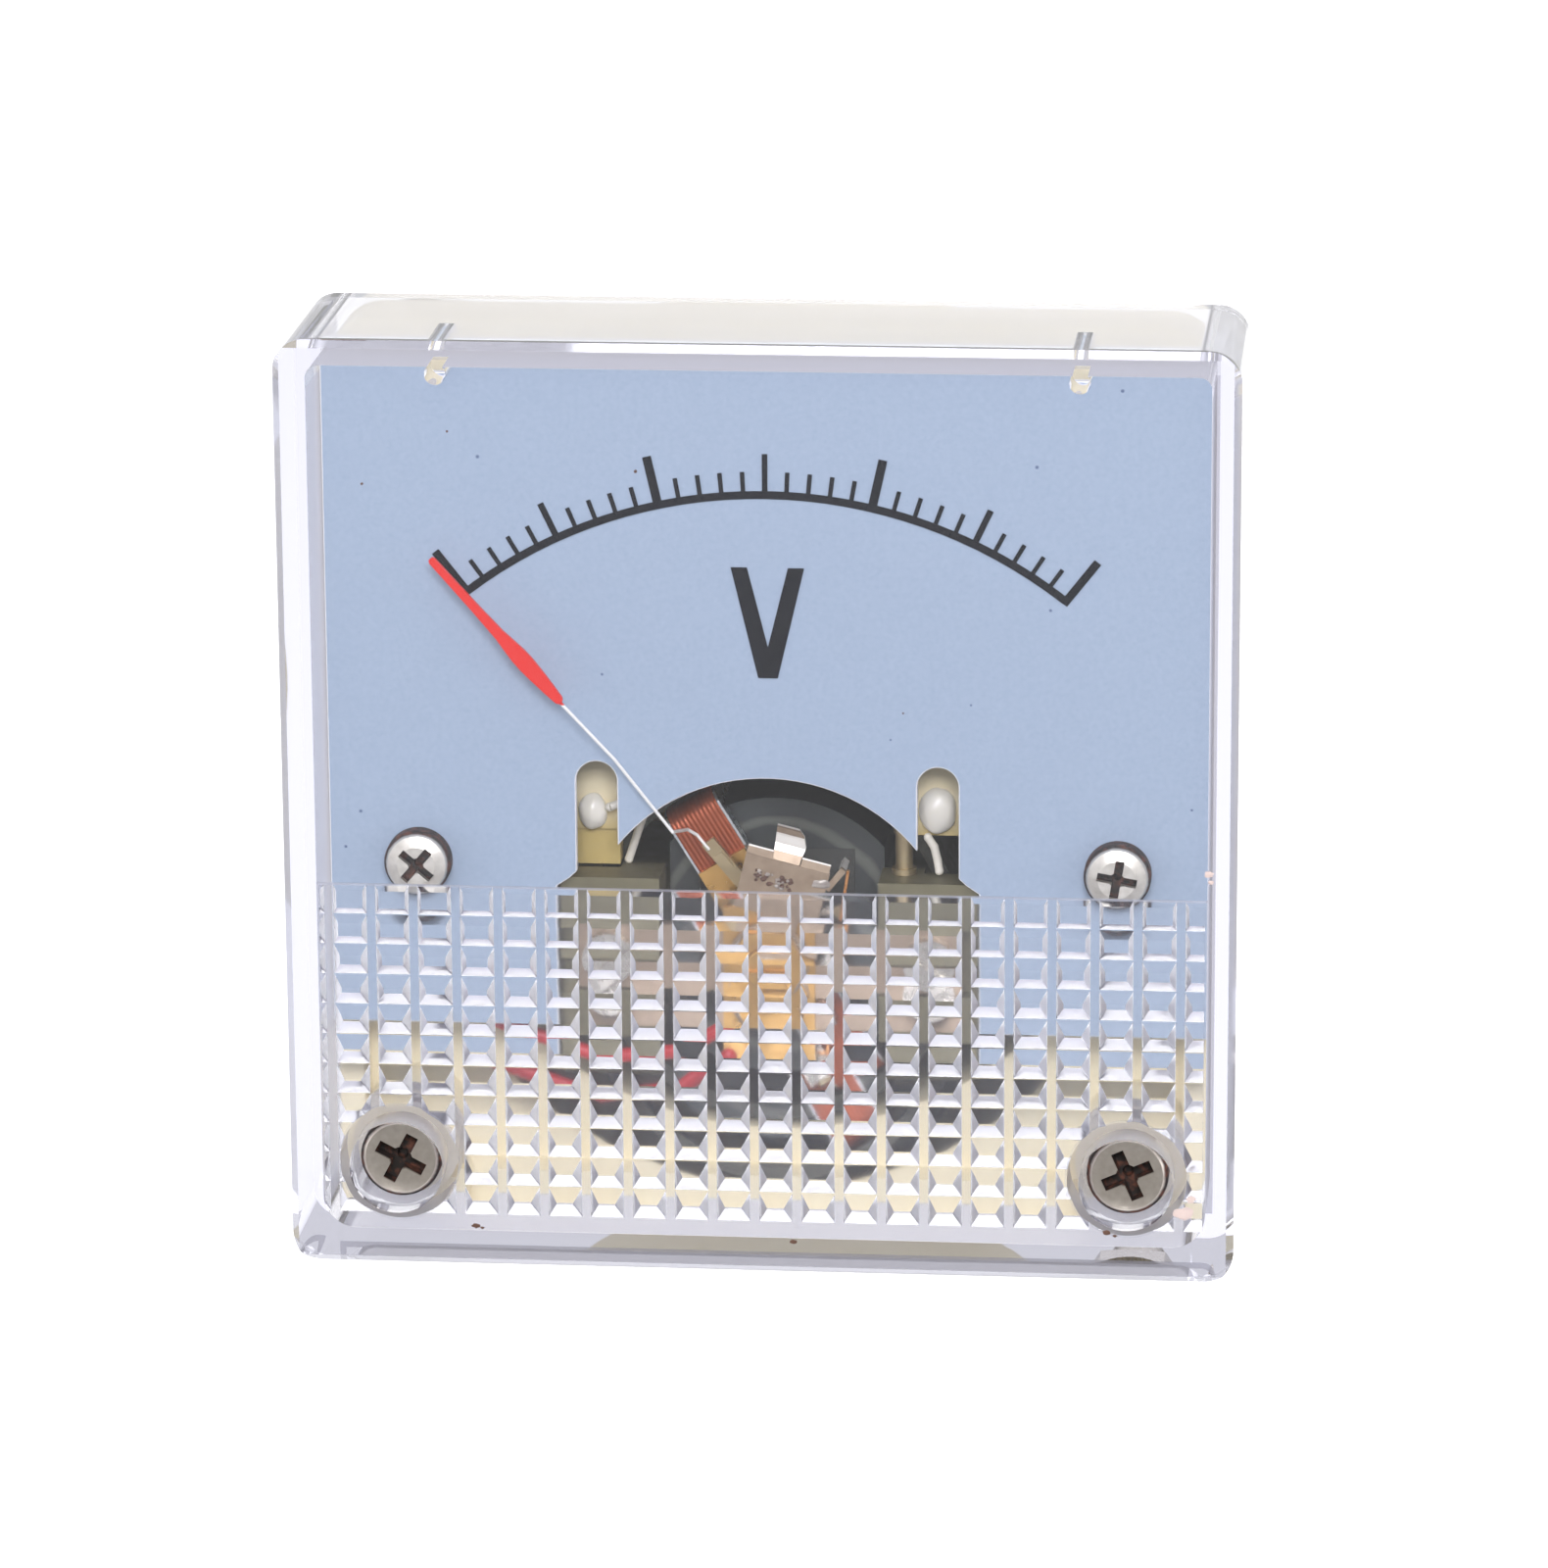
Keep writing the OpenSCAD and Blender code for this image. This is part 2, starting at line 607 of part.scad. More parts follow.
// Ring, neck and head plate with a curled tab; its stub holds the front spring.
module zero_regulator() color("Tan") about_pivot(regulator_angle) {
  difference() {
    plate_y(-5.27, -4.97) {
      circle(r = 1.95);
      translate([-0.9, 1]) square([1.8, 2.4]);
      translate([-2.3, 2.3]) square([4.1, 2.75]);
      translate([1.7, 4.3]) rotate(-25) square([0.3, 1.3]);
    }
    bar_y(1.05, -6, -4);
  }
  // upper edge of the plate leans back on both sides of the tab
  for (x = [[-2.3, -1], [0.35, 1.75]]) plate_x(x[0], x[1])
    polygon([[-5.27, 5], [-4.97, 5], [-4.7, 5.28], [-4.9, 5.4]]);
  // the tab leans back from the edge and curls forward again
  intersection() {
    plate_x(-1.3, 0.6)
      polygon([[-5.27, 4.9], [-4.97, 4.9], [-4.7, 5.3], [-4.58, 5.8], [-4.66, 6.3],
        [-4.84, 6.72], [-5.06, 6.62], [-4.92, 6.22], [-4.86, 5.8], [-4.96, 5.45]]);
    plate_y(-6, -4)
      polygon([[-0.98, 4.8], [0.3, 4.8], [0.3, 5.3], [0.4, 5.85], [0.2, 6.4],
        [-0.2, 6.8], [-1.2, 6.8], [-1.12, 6]]);
  }
  // stub turns back towards the spring plane
  translate([2.34, 0, 5.3]) rotate([0, 25, 0]) box(-0.15, 0.15, -5.1, -3.3, -0.12, 0.12);
}

module regulator_washer() color("Silver") about_pivot() difference() {
  bar_y(1.8, -5.5, -5.29);
  bar_y(1.05, -6, -5);
}

module front_jewel_screw() color("Khaki") about_pivot() difference() {
  thread_y(1, -6.5, -3.9, 0.26);
  box(-1.2, 1.2, -7, -6.1, -0.16, 0.16);
  bar_y(0.6, -4.5, -3);
}

module front_jewel() color("Crimson") about_pivot() difference() {
  bar_y(0.58, -4.48, -3.92);
  cone_y(0.02, 0.42, -4.32, -3.9);
}

module front_lock_nut() color("Khaki") about_pivot() difference() {
  hex_y(1.95, -6.12, -5.52);
  bar_y(1.02, -7, -5);
}

module rear_jewel_screw() color("Khaki") about_pivot() difference() {
  thread_y(1, crossbar_y - 0.1, crossbar_back + 1.5, 0.26);
  box(-1.2, 1.2, crossbar_back + 1.1, crossbar_back + 2, -0.16, 0.16);
  bar_y(0.6, crossbar_y - 1, crossbar_y + 0.5);
}

module rear_jewel() color("Crimson") about_pivot() difference() {
  bar_y(0.58, crossbar_y - 0.08, crossbar_y + 0.48);
  cone_y(0.42, 0.02, crossbar_y - 0.1, crossbar_y + 0.32);
}

module rear_lock_nut() color("Khaki") about_pivot() difference() {
  hex_y(1.95, crossbar_back + 0.27, crossbar_back + 0.95);
  bar_y(1.02, crossbar_back - 1, crossbar_back + 2);
}

// Ring tag under the lock nut, folded forward to the rear spring.
module rear_spring_tag() color("Goldenrod") about_pivot() difference() {
  union() {
    plate_y(crossbar_back + fit, crossbar_back + 0.25) {
      circle(r = 1.9);
      translate([-0.6, 0]) square([1.2, 4.2]);
    }
    box(-0.6, 0.6, coil_back + 0.65, crossbar_back + 0.2, 2.6, 2.85);
  }
  bar_y(1.02, crossbar_back - 1, crossbar_back + 1);
}

// Small spool that stands on the shelf of the frame.
module lead_post() color("Tan") translate([6.35, -3.05, pivot_z + cheek_half + fit]) {
  cylinder(r = 0.6, h = 0.28);
  cylinder(r = 0.42, h = 2.2);
  translate([0, 0, 2]) cylinder(r = 0.5, h = 0.25);
}

// ---- moving part ---------------------------------------------------------

// Half outline of the blade: distance from its foot, half width there.
blade = [[0, 0.12], [0.12, 0.2], [0.8, 0.28], [1.75, 0.36], [2.4, 0.4], [3, 0.39],
  [3.6, 0.33], [4.3, 0.25], [6, 0.2], [9.05, 0.17], [9.18, 0.1]];

// Flat needle: narrow tip, red blade, thin stem, then a crank back to the holder.
module pointer() color("Red") union() {
  plate_y(-6.75, -6.5) translate([-9.64, 4.45]) rotate(41.6) polygon(concat(
    [for (p = blade) [-p[1], p[0]]],
    [for (i = [len(blade) - 1 : -1 : 0]) [blade[i][1], blade[i][0]]]));
  wire([[-9.66, -6.6, 4.4], [-7.15, -6.33, 1.6], [-4.48, -5.8, -2.06],
    [-4.03, -3.3, -2.63], [-3.6, -3.09, -2.95], [-3.06, -3.12, -3.62]], 0.08);
}

// Plate on the pivot with a tongue that grips the needle and arms for the weights.
module pointer_holder() color("Tan") difference() {
  union() {
    about_pivot() plate_y(-3, -2.62) {
      circle(r = 1.1);
      holder_tongue(0.68, -1.2, 2.17);
      rotate(-coil_rest_angle) {
        translate([-0.55, 0]) square([1.1, 3.4]);
        translate([-0.3, -4.9]) square([0.6, 4.9]);
        translate([-3.9, -0.25]) square([7.8, 0.5]);
      }
    }
    // folded lip beside the end of the needle
    about_pivot() plate_y(-3.12, -2.98) holder_tongue(0.5, 0.4, 1.4);
  }
  about_pivot() bar_y(0.47, -4, -2);
}

module holder_tongue(wide, from, to)
  translate([-1.74, 3.61]) rotate(39.5) translate([-wide / 2, from]) square([wide, to - from]);

module counterweights() color("Silver") about_pivot(coil_rest_angle) {
  difference() {
    box(-0.75, 0.75, -3.2, -2.1, -4.7, -3.1);
    box(-0.32, 0.32, -3.02, -2.6, -5, -3);
  }
  for (s = [-1, 1]) difference() {
    box(s > 0 ? 2.5 : -3.5, s > 0 ? 3.5 : -2.5, -3.15, -2.45, -0.5, 0.5);
    box(s > 0 ? 2.4 : -3.6, s > 0 ? 3.6 : -2.4, -3.02, -2.6, -0.27, 0.27);
  }
}

// Loop section of the coil, drawn in Y and Z, grown outwards by g.
module coil_loop(g, rc) {
  y0 = coil_in_front - g;
  y1 = coil_in_back + g;
  h = coil_in + g;
  translate([(y0 + y1) / 2, 0]) soft_rect(y1 - y0, 2 * h, rc, rc);
}

module coil_former() color("LightGray") about_pivot(coil_rest_angle) difference() {
  union() {
    plate_x(-coil_width / 2, coil_width / 2) coil_loop(former_thickness, 0.6);
    for (s = [-1, 1])
      plate_x(s * (coil_width / 2 - 0.06) - 0.06, s * (coil_width / 2 - 0.06) + 0.06)
        coil_loop(former_thickness + winding_thickness * 0.9, 0.9);
  }
  plate_x(-5, 5) coil_loop(0, 0.3);
}

module coil_winding() color("Chocolate") about_pivot(coil_rest_angle) difference() {
  plate_x(-coil_width / 2 + 0.13, coil_width / 2 - 0.13)
    coil_loop(former_thickness + winding_thickness, 1);
  plate_x(-5, 5) coil_loop(former_thickness + 0.01, 0.6);
}

module front_pivot_seat() color("Khaki") about_pivot(coil_rest_angle) {
  box(0.1 - coil_width / 2, coil_width / 2 - 0.1, coil_front - 0.35, coil_front - 0.01,
    -2.4, 4.85);
  bar_y(0.45, -3.75, coil_front - 0.2);
}

module rear_pivot_seat() color("Khaki") about_pivot(coil_rest_angle) {
  box(-1, 1, coil_back + 0.01, coil_back + 0.35, -1.2, 1.2);
  bar_y(0.45, coil_back + 0.2, crossbar_y - 0.25);
}

module front_pivot() color("Silver") about_pivot() {
  cone_y(0.04, 0.2, -4.22, -3.76);
}

module rear_pivot() color("Silver") about_pivot() {
  cone_y(0.2, 0.04, crossbar_y - 0.24, crossbar_y + 0.22);
}

// Flat spiral of half turns, with inner radius a, pitch p and n turns.
module spiral(a, p, n, t) {
  for (k = [0 : n - 1]) {
    intersection() {
      difference() {
        circle(r = a + k * p + t);
        circle(r = a + k * p);
      }
      translate([-0.01, -10]) square([10.01, 20]);
    }
    translate([0, -p / 2]) intersection() {
      difference() {
        circle(r = a + (k + 0.5) * p + t);
        circle(r = a + (k + 0.5) * p);
      }
      translate([-10, -10]) square([10, 20]);
    }
  }
}

module front_hairspring() color("Orange") about_pivot() {
  plate_y(-3.52, -3.27) spiral(0.97, 0.42, 4, 0.1);
  plate_y(-3.52, -3.27) translate([-0.05, -2.75]) square([2.75, 0.1]);
  plate_y(-3.52, -3.27) polygon([[2.6, -2.75], [2.7, -2.75], [3.75, 4.1], [3.62, 4.15]]);
}

module rear_hairspring() color("Orange") about_pivot() {
  plate_y(coil_back + 0.72, coil_back + 0.97) {
    spiral(0.97, 0.42, 3, 0.1);
    translate([-2.4, -2.33]) square([2.45, 0.1]);
    polygon([[-2.4, -2.33], [-2.3, -2.33], [-2.3, 2.5], [-0.62, 2.62], [-0.62, 2.72],
      [-2.4, 2.6]]);
  }
}

module front_collet() color("Goldenrod") about_pivot() difference() {
  bar_y(0.95, -3.6, -3.18);
  bar_y(0.47, -4, -3);
}

module rear_collet() color("Goldenrod") about_pivot() difference() {
  bar_y(0.95, coil_back + 0.64, coil_back + 1.04);
  bar_y(0.47, coil_back, coil_back + 2);
}

// ---- wiring --------------------------------------------------------------

module lead_left() color("White")
  wire([[-7, -2.25, -4.45], [-6.4, -2.2, -2.6], [-6.05, -2.6, -1.6], [-6.6, -3.4, -1.1],
    [-7.75, -3.6, -1.5]], 0.2);

module lead_right() color("White")
  wire([[8.05, -3.4, -4.4], [7.96, -3.3, -3.9], [7.8, -3.26, -3.25], [7.5, -3.22, -2.8]], 0.2);

module glue_bead_left() color("White") difference() {
  union() {
    translate([-8.64, post_front - fit, -2.05]) sphere(r = 0.62);
    translate([-8.64, post_front - fit, -1.7]) sphere(r = 0.58);
  }
  box(-12, 0, post_front - fit, 0, -5, 5);
}

module glue_bead_right() color("White") difference() {
  union() {
    translate([7.98, post_front - fit, -1.68]) sphere(r = 0.88);
    translate([7.95, post_front - fit, -1.24]) sphere(r = 0.74);
  }
  box(0, 12, post_front - fit, 0, -5, 5);
}

module red_lead() color("Red")
  wire([[-8.5, floor_y - 1.2, -1.2], [-12.9, 12, -2.6], [-14.35, 5, -6.6],
    [-14.75, -2.5, -9.2], [-13.4, -3.9, -12.2], [-8.2, -4.3, -13.8],
    [-4.3, -4.7, -13.3], [-1.9, -5.35, -11.7]], 0.35);

module series_resistor() color("Peru") {
  translate([-3.2, resistor_y, -12]) rotate([0, 90, 0]) cylinder(r = 1.15, h = 6.4);
  for (x = [-3.4, 2.2]) translate([x, resistor_y, -12]) rotate([0, 90, 0])
    cylinder(r = 1.3, h = 1.2);
}

module resistor_wires() color("Silver") difference() {
  union() {
    wire([[3, resistor_y, -12], [6.5, resistor_y, -12], [8.5, floor_y - 2, -6],
      [8.5, floor_y - 1.1, -1.2]], 0.3);
    wire([[-3, resistor_y, -12], [-4.6, resistor_y, -11.4], [-2.6, 12.4, -6.8],
      [0, crossbar_back + 0.65, -4.7]], 0.3);
  }
  series_resistor();
}

module terminal_tag(s) color("Goldenrod") difference() {
  plate_y(floor_y - 0.52, floor_y - fit) {
    translate([s * terminal_x, terminal_z]) circle(r = 3.4);
    translate([s * terminal_x - 1.2, terminal_z - 7.4]) square([2.4, 7.4]);
  }
  bar_y(terminal_diameter / 2 + fit, floor_y - 2, floor_y + 2, s * terminal_x, terminal_z);
  bar_y(0.5, floor_y - 2, floor_y + 2, s * terminal_x, terminal_z - 6.2);
}

// ---- back fittings -------------------------------------------------------

// Stud along Y: slimmer where the nut engages, full size beyond it, with a bevelled tip.
module stud_y(r, y0, engaged, y1, x, z) {
  bar_y(r - neck, y0, engaged, x, z);
  bar_y(r, engaged - fit, y1 - 0.3 * r, x, z);
  cone_y(r, 0.7 * r, y1 - 0.3 * r, y1, x, z);
}

module terminal_stud(s) color("Gold") {
  hex_y(3.4, floor_y - 3.3, floor_y - 0.54, s * terminal_x, terminal_z);
  stud_y(terminal_diameter / 2, floor_y - 0.6, terminal_nut_y + terminal_nut_height + 0.2,
    stack_y + terminal_length, s * terminal_x, terminal_z);
}

module terminal_washers() color("Silver") for (s = [-1, 1]) difference() {
  bar_y(4.2, stack_y + fit, stack_y + washer_thickness, s * terminal_x, terminal_z);
  bar_y(terminal_diameter / 2 + 0.1, stack_y - 1, stack_y + 2, s * terminal_x, terminal_z);
}

module solder_lugs() color("Gold") for (s = [-1, 1]) difference() {
  plate_y(stack_y + washer_thickness + fit, terminal_nut_y - fit) {
    translate([s * terminal_x, terminal_z]) circle(r = 3.7);
    translate([s * terminal_x - 1.5, terminal_z - 9]) square([3, 9]);
    translate([s * terminal_x, terminal_z - 9]) circle(r = 1.5);
  }
  bar_y(terminal_diameter / 2 + 0.1, stack_y - 1, stack_y + 3, s * terminal_x, terminal_z);
  bar_y(0.75, stack_y - 1, stack_y + 3, s * terminal_x, terminal_z - 9);
}

module terminal_nuts() color("Gold") for (s = [-1, 1])
  nut_y(M4_nut, terminal_diameter / 2 - neck + fit, terminal_nut_y,
    terminal_nut_y + terminal_nut_height, s * terminal_x, terminal_z);

module panel_studs() color("Silver") for (s = [-1, 1]) {
  bar_y(2.3, -1.4, -0.4, -s * panel_stud_offset, s * panel_stud_offset);
  stud_y(panel_stud_diameter / 2, -0.5, panel_nut_y + panel_nut_height + 0.2,
    panel_stud_length, -s * panel_stud_offset, s * panel_stud_offset);
}

module panel_washers() color("Silver") for (s = [-1, 1]) difference() {
  bar_y(3.4, panel_room, panel_room + panel_washer_thickness,
    -s * panel_stud_offset, s * panel_stud_offset);
  bar_y(panel_stud_diameter / 2 + 0.1, 0, 5, -s * panel_stud_offset, s * panel_stud_offset);
}

module panel_nuts() color("Silver") for (s = [-1, 1])
  nut_y(M3_nut, panel_stud_diameter / 2 - neck + fit, panel_nut_y, panel_nut_y + panel_nut_height,
    -s * panel_stud_offset, s * panel_stud_offset);

// ---- drawing -------------------------------------------------------------

front_cover();
cover_screw(-1, 28);  // cover_screw_left
cover_screw(1, -24);  // cover_screw_right
case_base();
dial_plate();
dial_scale();
dial_screw(-1, 40);  // dial_screw_left
dial_screw(1, 10);  // dial_screw_right
yoke_ring();
pole_sleeve();
core_magnet();
movement_frame();
movement_screws();
front_bridge();
bridge_screws();
bush_plate();
zero_regulator();
regulator_washer();
front_jewel_screw();
front_jewel();
front_lock_nut();
rear_jewel_screw();
rear_jewel();
rear_lock_nut();
rear_spring_tag();
lead_post();
pointer();
pointer_holder();
counterweights();
coil_winding();
coil_former();
front_pivot_seat();
rear_pivot_seat();
front_pivot();
rear_pivot();
front_hairspring();
rear_hairspring();
front_collet();
rear_collet();
lead_left();
lead_right();
glue_bead_left();
glue_bead_right();
red_lead();
series_resistor();
resistor_wires();
terminal_tag(-1);  // terminal_tag_left
terminal_tag(1);  // terminal_tag_right
terminal_stud(-1);  // terminal_stud_left
terminal_stud(1);  // terminal_stud_right
terminal_washers();
solder_lugs();
terminal_nuts();
panel_studs();
panel_washers();
panel_nuts();
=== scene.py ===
import math
import random

import bmesh
import bpy
from bpy.props import FloatProperty, FloatVectorProperty, IntProperty, PointerProperty
from mathutils import Matrix, Vector, noise


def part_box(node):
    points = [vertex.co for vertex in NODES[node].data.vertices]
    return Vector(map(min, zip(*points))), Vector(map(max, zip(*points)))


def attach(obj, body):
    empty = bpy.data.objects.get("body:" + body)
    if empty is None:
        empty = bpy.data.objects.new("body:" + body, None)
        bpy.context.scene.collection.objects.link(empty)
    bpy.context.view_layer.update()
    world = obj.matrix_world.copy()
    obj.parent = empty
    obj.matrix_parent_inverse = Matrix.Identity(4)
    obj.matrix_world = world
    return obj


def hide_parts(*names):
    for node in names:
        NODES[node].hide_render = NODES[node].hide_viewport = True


bl_info = {
    "name": "Panel Meter Dresser",
    "version": (1, 0, 0),
    "blender": (4, 5, 0),
    "location": "3D View > Sidebar > Meter",
    "description": "Finishes, fine pieces and stage for a square moving-coil panel meter",
    "category": "Object",
}

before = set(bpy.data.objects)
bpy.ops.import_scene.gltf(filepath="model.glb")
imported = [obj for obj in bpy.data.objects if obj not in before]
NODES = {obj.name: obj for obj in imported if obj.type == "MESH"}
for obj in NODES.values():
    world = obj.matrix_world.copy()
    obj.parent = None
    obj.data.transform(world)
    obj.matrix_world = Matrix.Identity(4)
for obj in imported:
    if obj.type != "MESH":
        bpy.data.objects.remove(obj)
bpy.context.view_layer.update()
MM = 0.001


def top_of(node):
    """Y of the foremost point of a CAD node."""
    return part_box(node)[0][1]


def middle(node):
    """Centre of a CAD node in X and Z."""
    low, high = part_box(node)
    return (low[0] + high[0]) / 2, (low[2] + high[2]) / 2


PIVOT_Z = -8.6 * MM             # height of the pointer axis
WINDOW_THICKNESS = 1.8 * MM
SKIRT_WALL = 1.4 * MM
BOSS_RADIUS = 2.95 * MM         # a little more than the bosses round the cover screws
FAR = 50 * MM                   # past any face of the meter

COVER = {
    "front": top_of("front_cover"),
    "window_back": top_of("front_cover") + WINDOW_THICKNESS,
    "inner_half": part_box("front_cover")[1][0] - SKIRT_WALL,
    "facet_top": -3.9 * MM,     # height at which the faceted panel begins
    "haze_top": 20 * MM,        # the skirt is hazier below this height
    "screw_x": middle("cover_screw_right")[0],
    "screw_z": middle("cover_screw_right")[1],
}
NEEDLE_PAINT_FROM = 4.3 * MM    # lower end of the red paint when the needle points up
REGULATOR_HIGHLIGHT_DEPTH = 0.31 * MM     # what lies deeper than this below the face is bent back, and gets the painted highlight
COIL_TILT = -31.5               # degrees, the winding's slope at rest
RECESS_SHADE_AND_GRIME_RAGGED = 0.12 * MM        # unevenness of the painted shade and grime in a screw's recess
RECESS_SHADE_AND_GRIME_DEPTHS = (0.09 * MM, 0.2 * MM)    # where it begins and where it is full
# box round each guide post, and the heights between which its painted shade fades: darkest at the
# foot
POST = {"inner": 6.95 * MM, "outer": 9.95 * MM, "front": -3.1 * MM, "back": -1.5 * MM,
        "low": -4.8 * MM, "high": 2.4 * MM, "foot": -3 * MM, "shade_fades": -1.2 * MM}


# ---- colour and node helpers ----------------------------------------------

def srgb(code):
    """Hex colour as a linear RGBA tuple."""
    channels = [int(code[i:i + 2], 16) / 255 for i in (1, 3, 5)]
    linear = [c / 12.92 if c <= 0.04045 else ((c + 0.055) / 1.055) ** 2.4 for c in channels]
    return (*linear, 1.0)


def add_node(tree, kind, settings=None, inputs=None):
    """Adds a node, sets its properties, and fills or links its sockets."""
    node = tree.nodes.new(kind)
    for key, value in (settings or {}).items():
        setattr(node, key, value)
    for key, value in (inputs or {}).items():
        if isinstance(value, bpy.types.NodeSocket):
            tree.links.new(value, node.inputs[key])
        else:
            node.inputs[key].default_value = value
    return node


def per_mm(size):
    """Texture scale at which one feature is this many millimetres across."""
    return 1 / (size * MM)


def per_wave(size):
    """Wave texture scale at which its bands or rings are this many millimetres apart."""
    return math.pi / 10 / (size * MM)


def inside(tree, *limits):
    """1 where every value lies between its own two limits, 0 elsewhere."""
    mask = 1.0
    for value, low, high in limits:
        within = add_node(tree, "ShaderNodeMath", {"operation": "COMPARE"},
                          {0: value, 1: (low + high) / 2, 2: (high - low) / 2})
        mask = add_node(tree, "ShaderNodeMath", {"operation": "MULTIPLY"},
                        {0: mask, 1: within.outputs[0]}).outputs[0]
    return mask


def seen_by(tree, *rays):
    """1 for any of these kinds of ray, such as Camera or Glossy."""
    path = add_node(tree, "ShaderNodeLightPath")
    seen = 0.0
    for ray in rays:
        seen = add_node(tree, "ShaderNodeMath", {"operation": "MAXIMUM"},
                        {0: seen, 1: path.outputs[f"Is {ray} Ray"]}).outputs[0]
    return seen


def blank_material(name):
    """An empty material and its node tree."""
    material = bpy.data.materials.new(name)
    material.use_nodes = True
    material.node_tree.nodes.clear()
    return material, material.node_tree


def coordinates(tree, turn=0.0, centre=(0, 0, 0)):
    """Object coordinates, moved to a centre and turned about Y."""
    source = add_node(tree, "ShaderNodeTexCoord").outputs["Object"]
    if not turn and not any(centre):
        return source
    return add_node(tree, "ShaderNodeMapping", {"vector_type": "TEXTURE"},
                    {"Vector": source, "Location": centre,
                     "Rotation": (0, math.radians(turn), 0)}).outputs["Vector"]


def plain_finish(name, light, dark, grain, rough, metallic=0.0, bump=0.002,
                 spread=0.08, extra=None):
    """Principled surface mottled between two colours, with fine relief in millimetres."""
    material, tree = blank_material(name)
    place = coordinates(tree)
    broad = add_node(tree, "ShaderNodeTexNoise", None,
                     {"Vector": place, "Scale": per_mm(grain * 6), "Detail": 3.0})
    fine = add_node(tree, "ShaderNodeTexNoise", None,
                    {"Vector": place, "Scale": per_mm(grain), "Detail": 2.0})
    share = add_node(tree, "ShaderNodeMath", {"operation": "MULTIPLY"},
                     {0: fine.outputs["Fac"], 1: 0.4})
    blend = add_node(tree, "ShaderNodeMath", {"operation": "MULTIPLY_ADD"},
                     {0: broad.outputs["Fac"], 1: 0.6, 2: share.outputs[0]})
    colour = add_node(tree, "ShaderNodeMix", {"data_type": "RGBA"},
                      {"Factor": blend.outputs[0], 6: srgb(dark), 7: srgb(light)})
    roughness = add_node(tree, "ShaderNodeMapRange", None,
                         {"Value": fine.outputs["Fac"], "From Min": 0.3, "From Max": 0.7,
                          "To Min": rough - spread, "To Max": rough + spread})
    relief = add_node(tree, "ShaderNodeBump", None,
                      {"Height": fine.outputs["Fac"], "Distance": bump * MM, "Strength": 1.0})
    inputs = {"Base Color": colour.outputs[2], "Roughness": roughness.outputs[0],
              "Metallic": metallic, "Normal": relief.outputs[0]}
    inputs.update(extra or {})
    shader = add_node(tree, "ShaderNodeBsdfPrincipled", None, inputs)
    add_node(tree, "ShaderNodeOutputMaterial", None, {"Surface": shader.outputs[0]})
    return material


# ---- finishes --------------------------------------------------------------

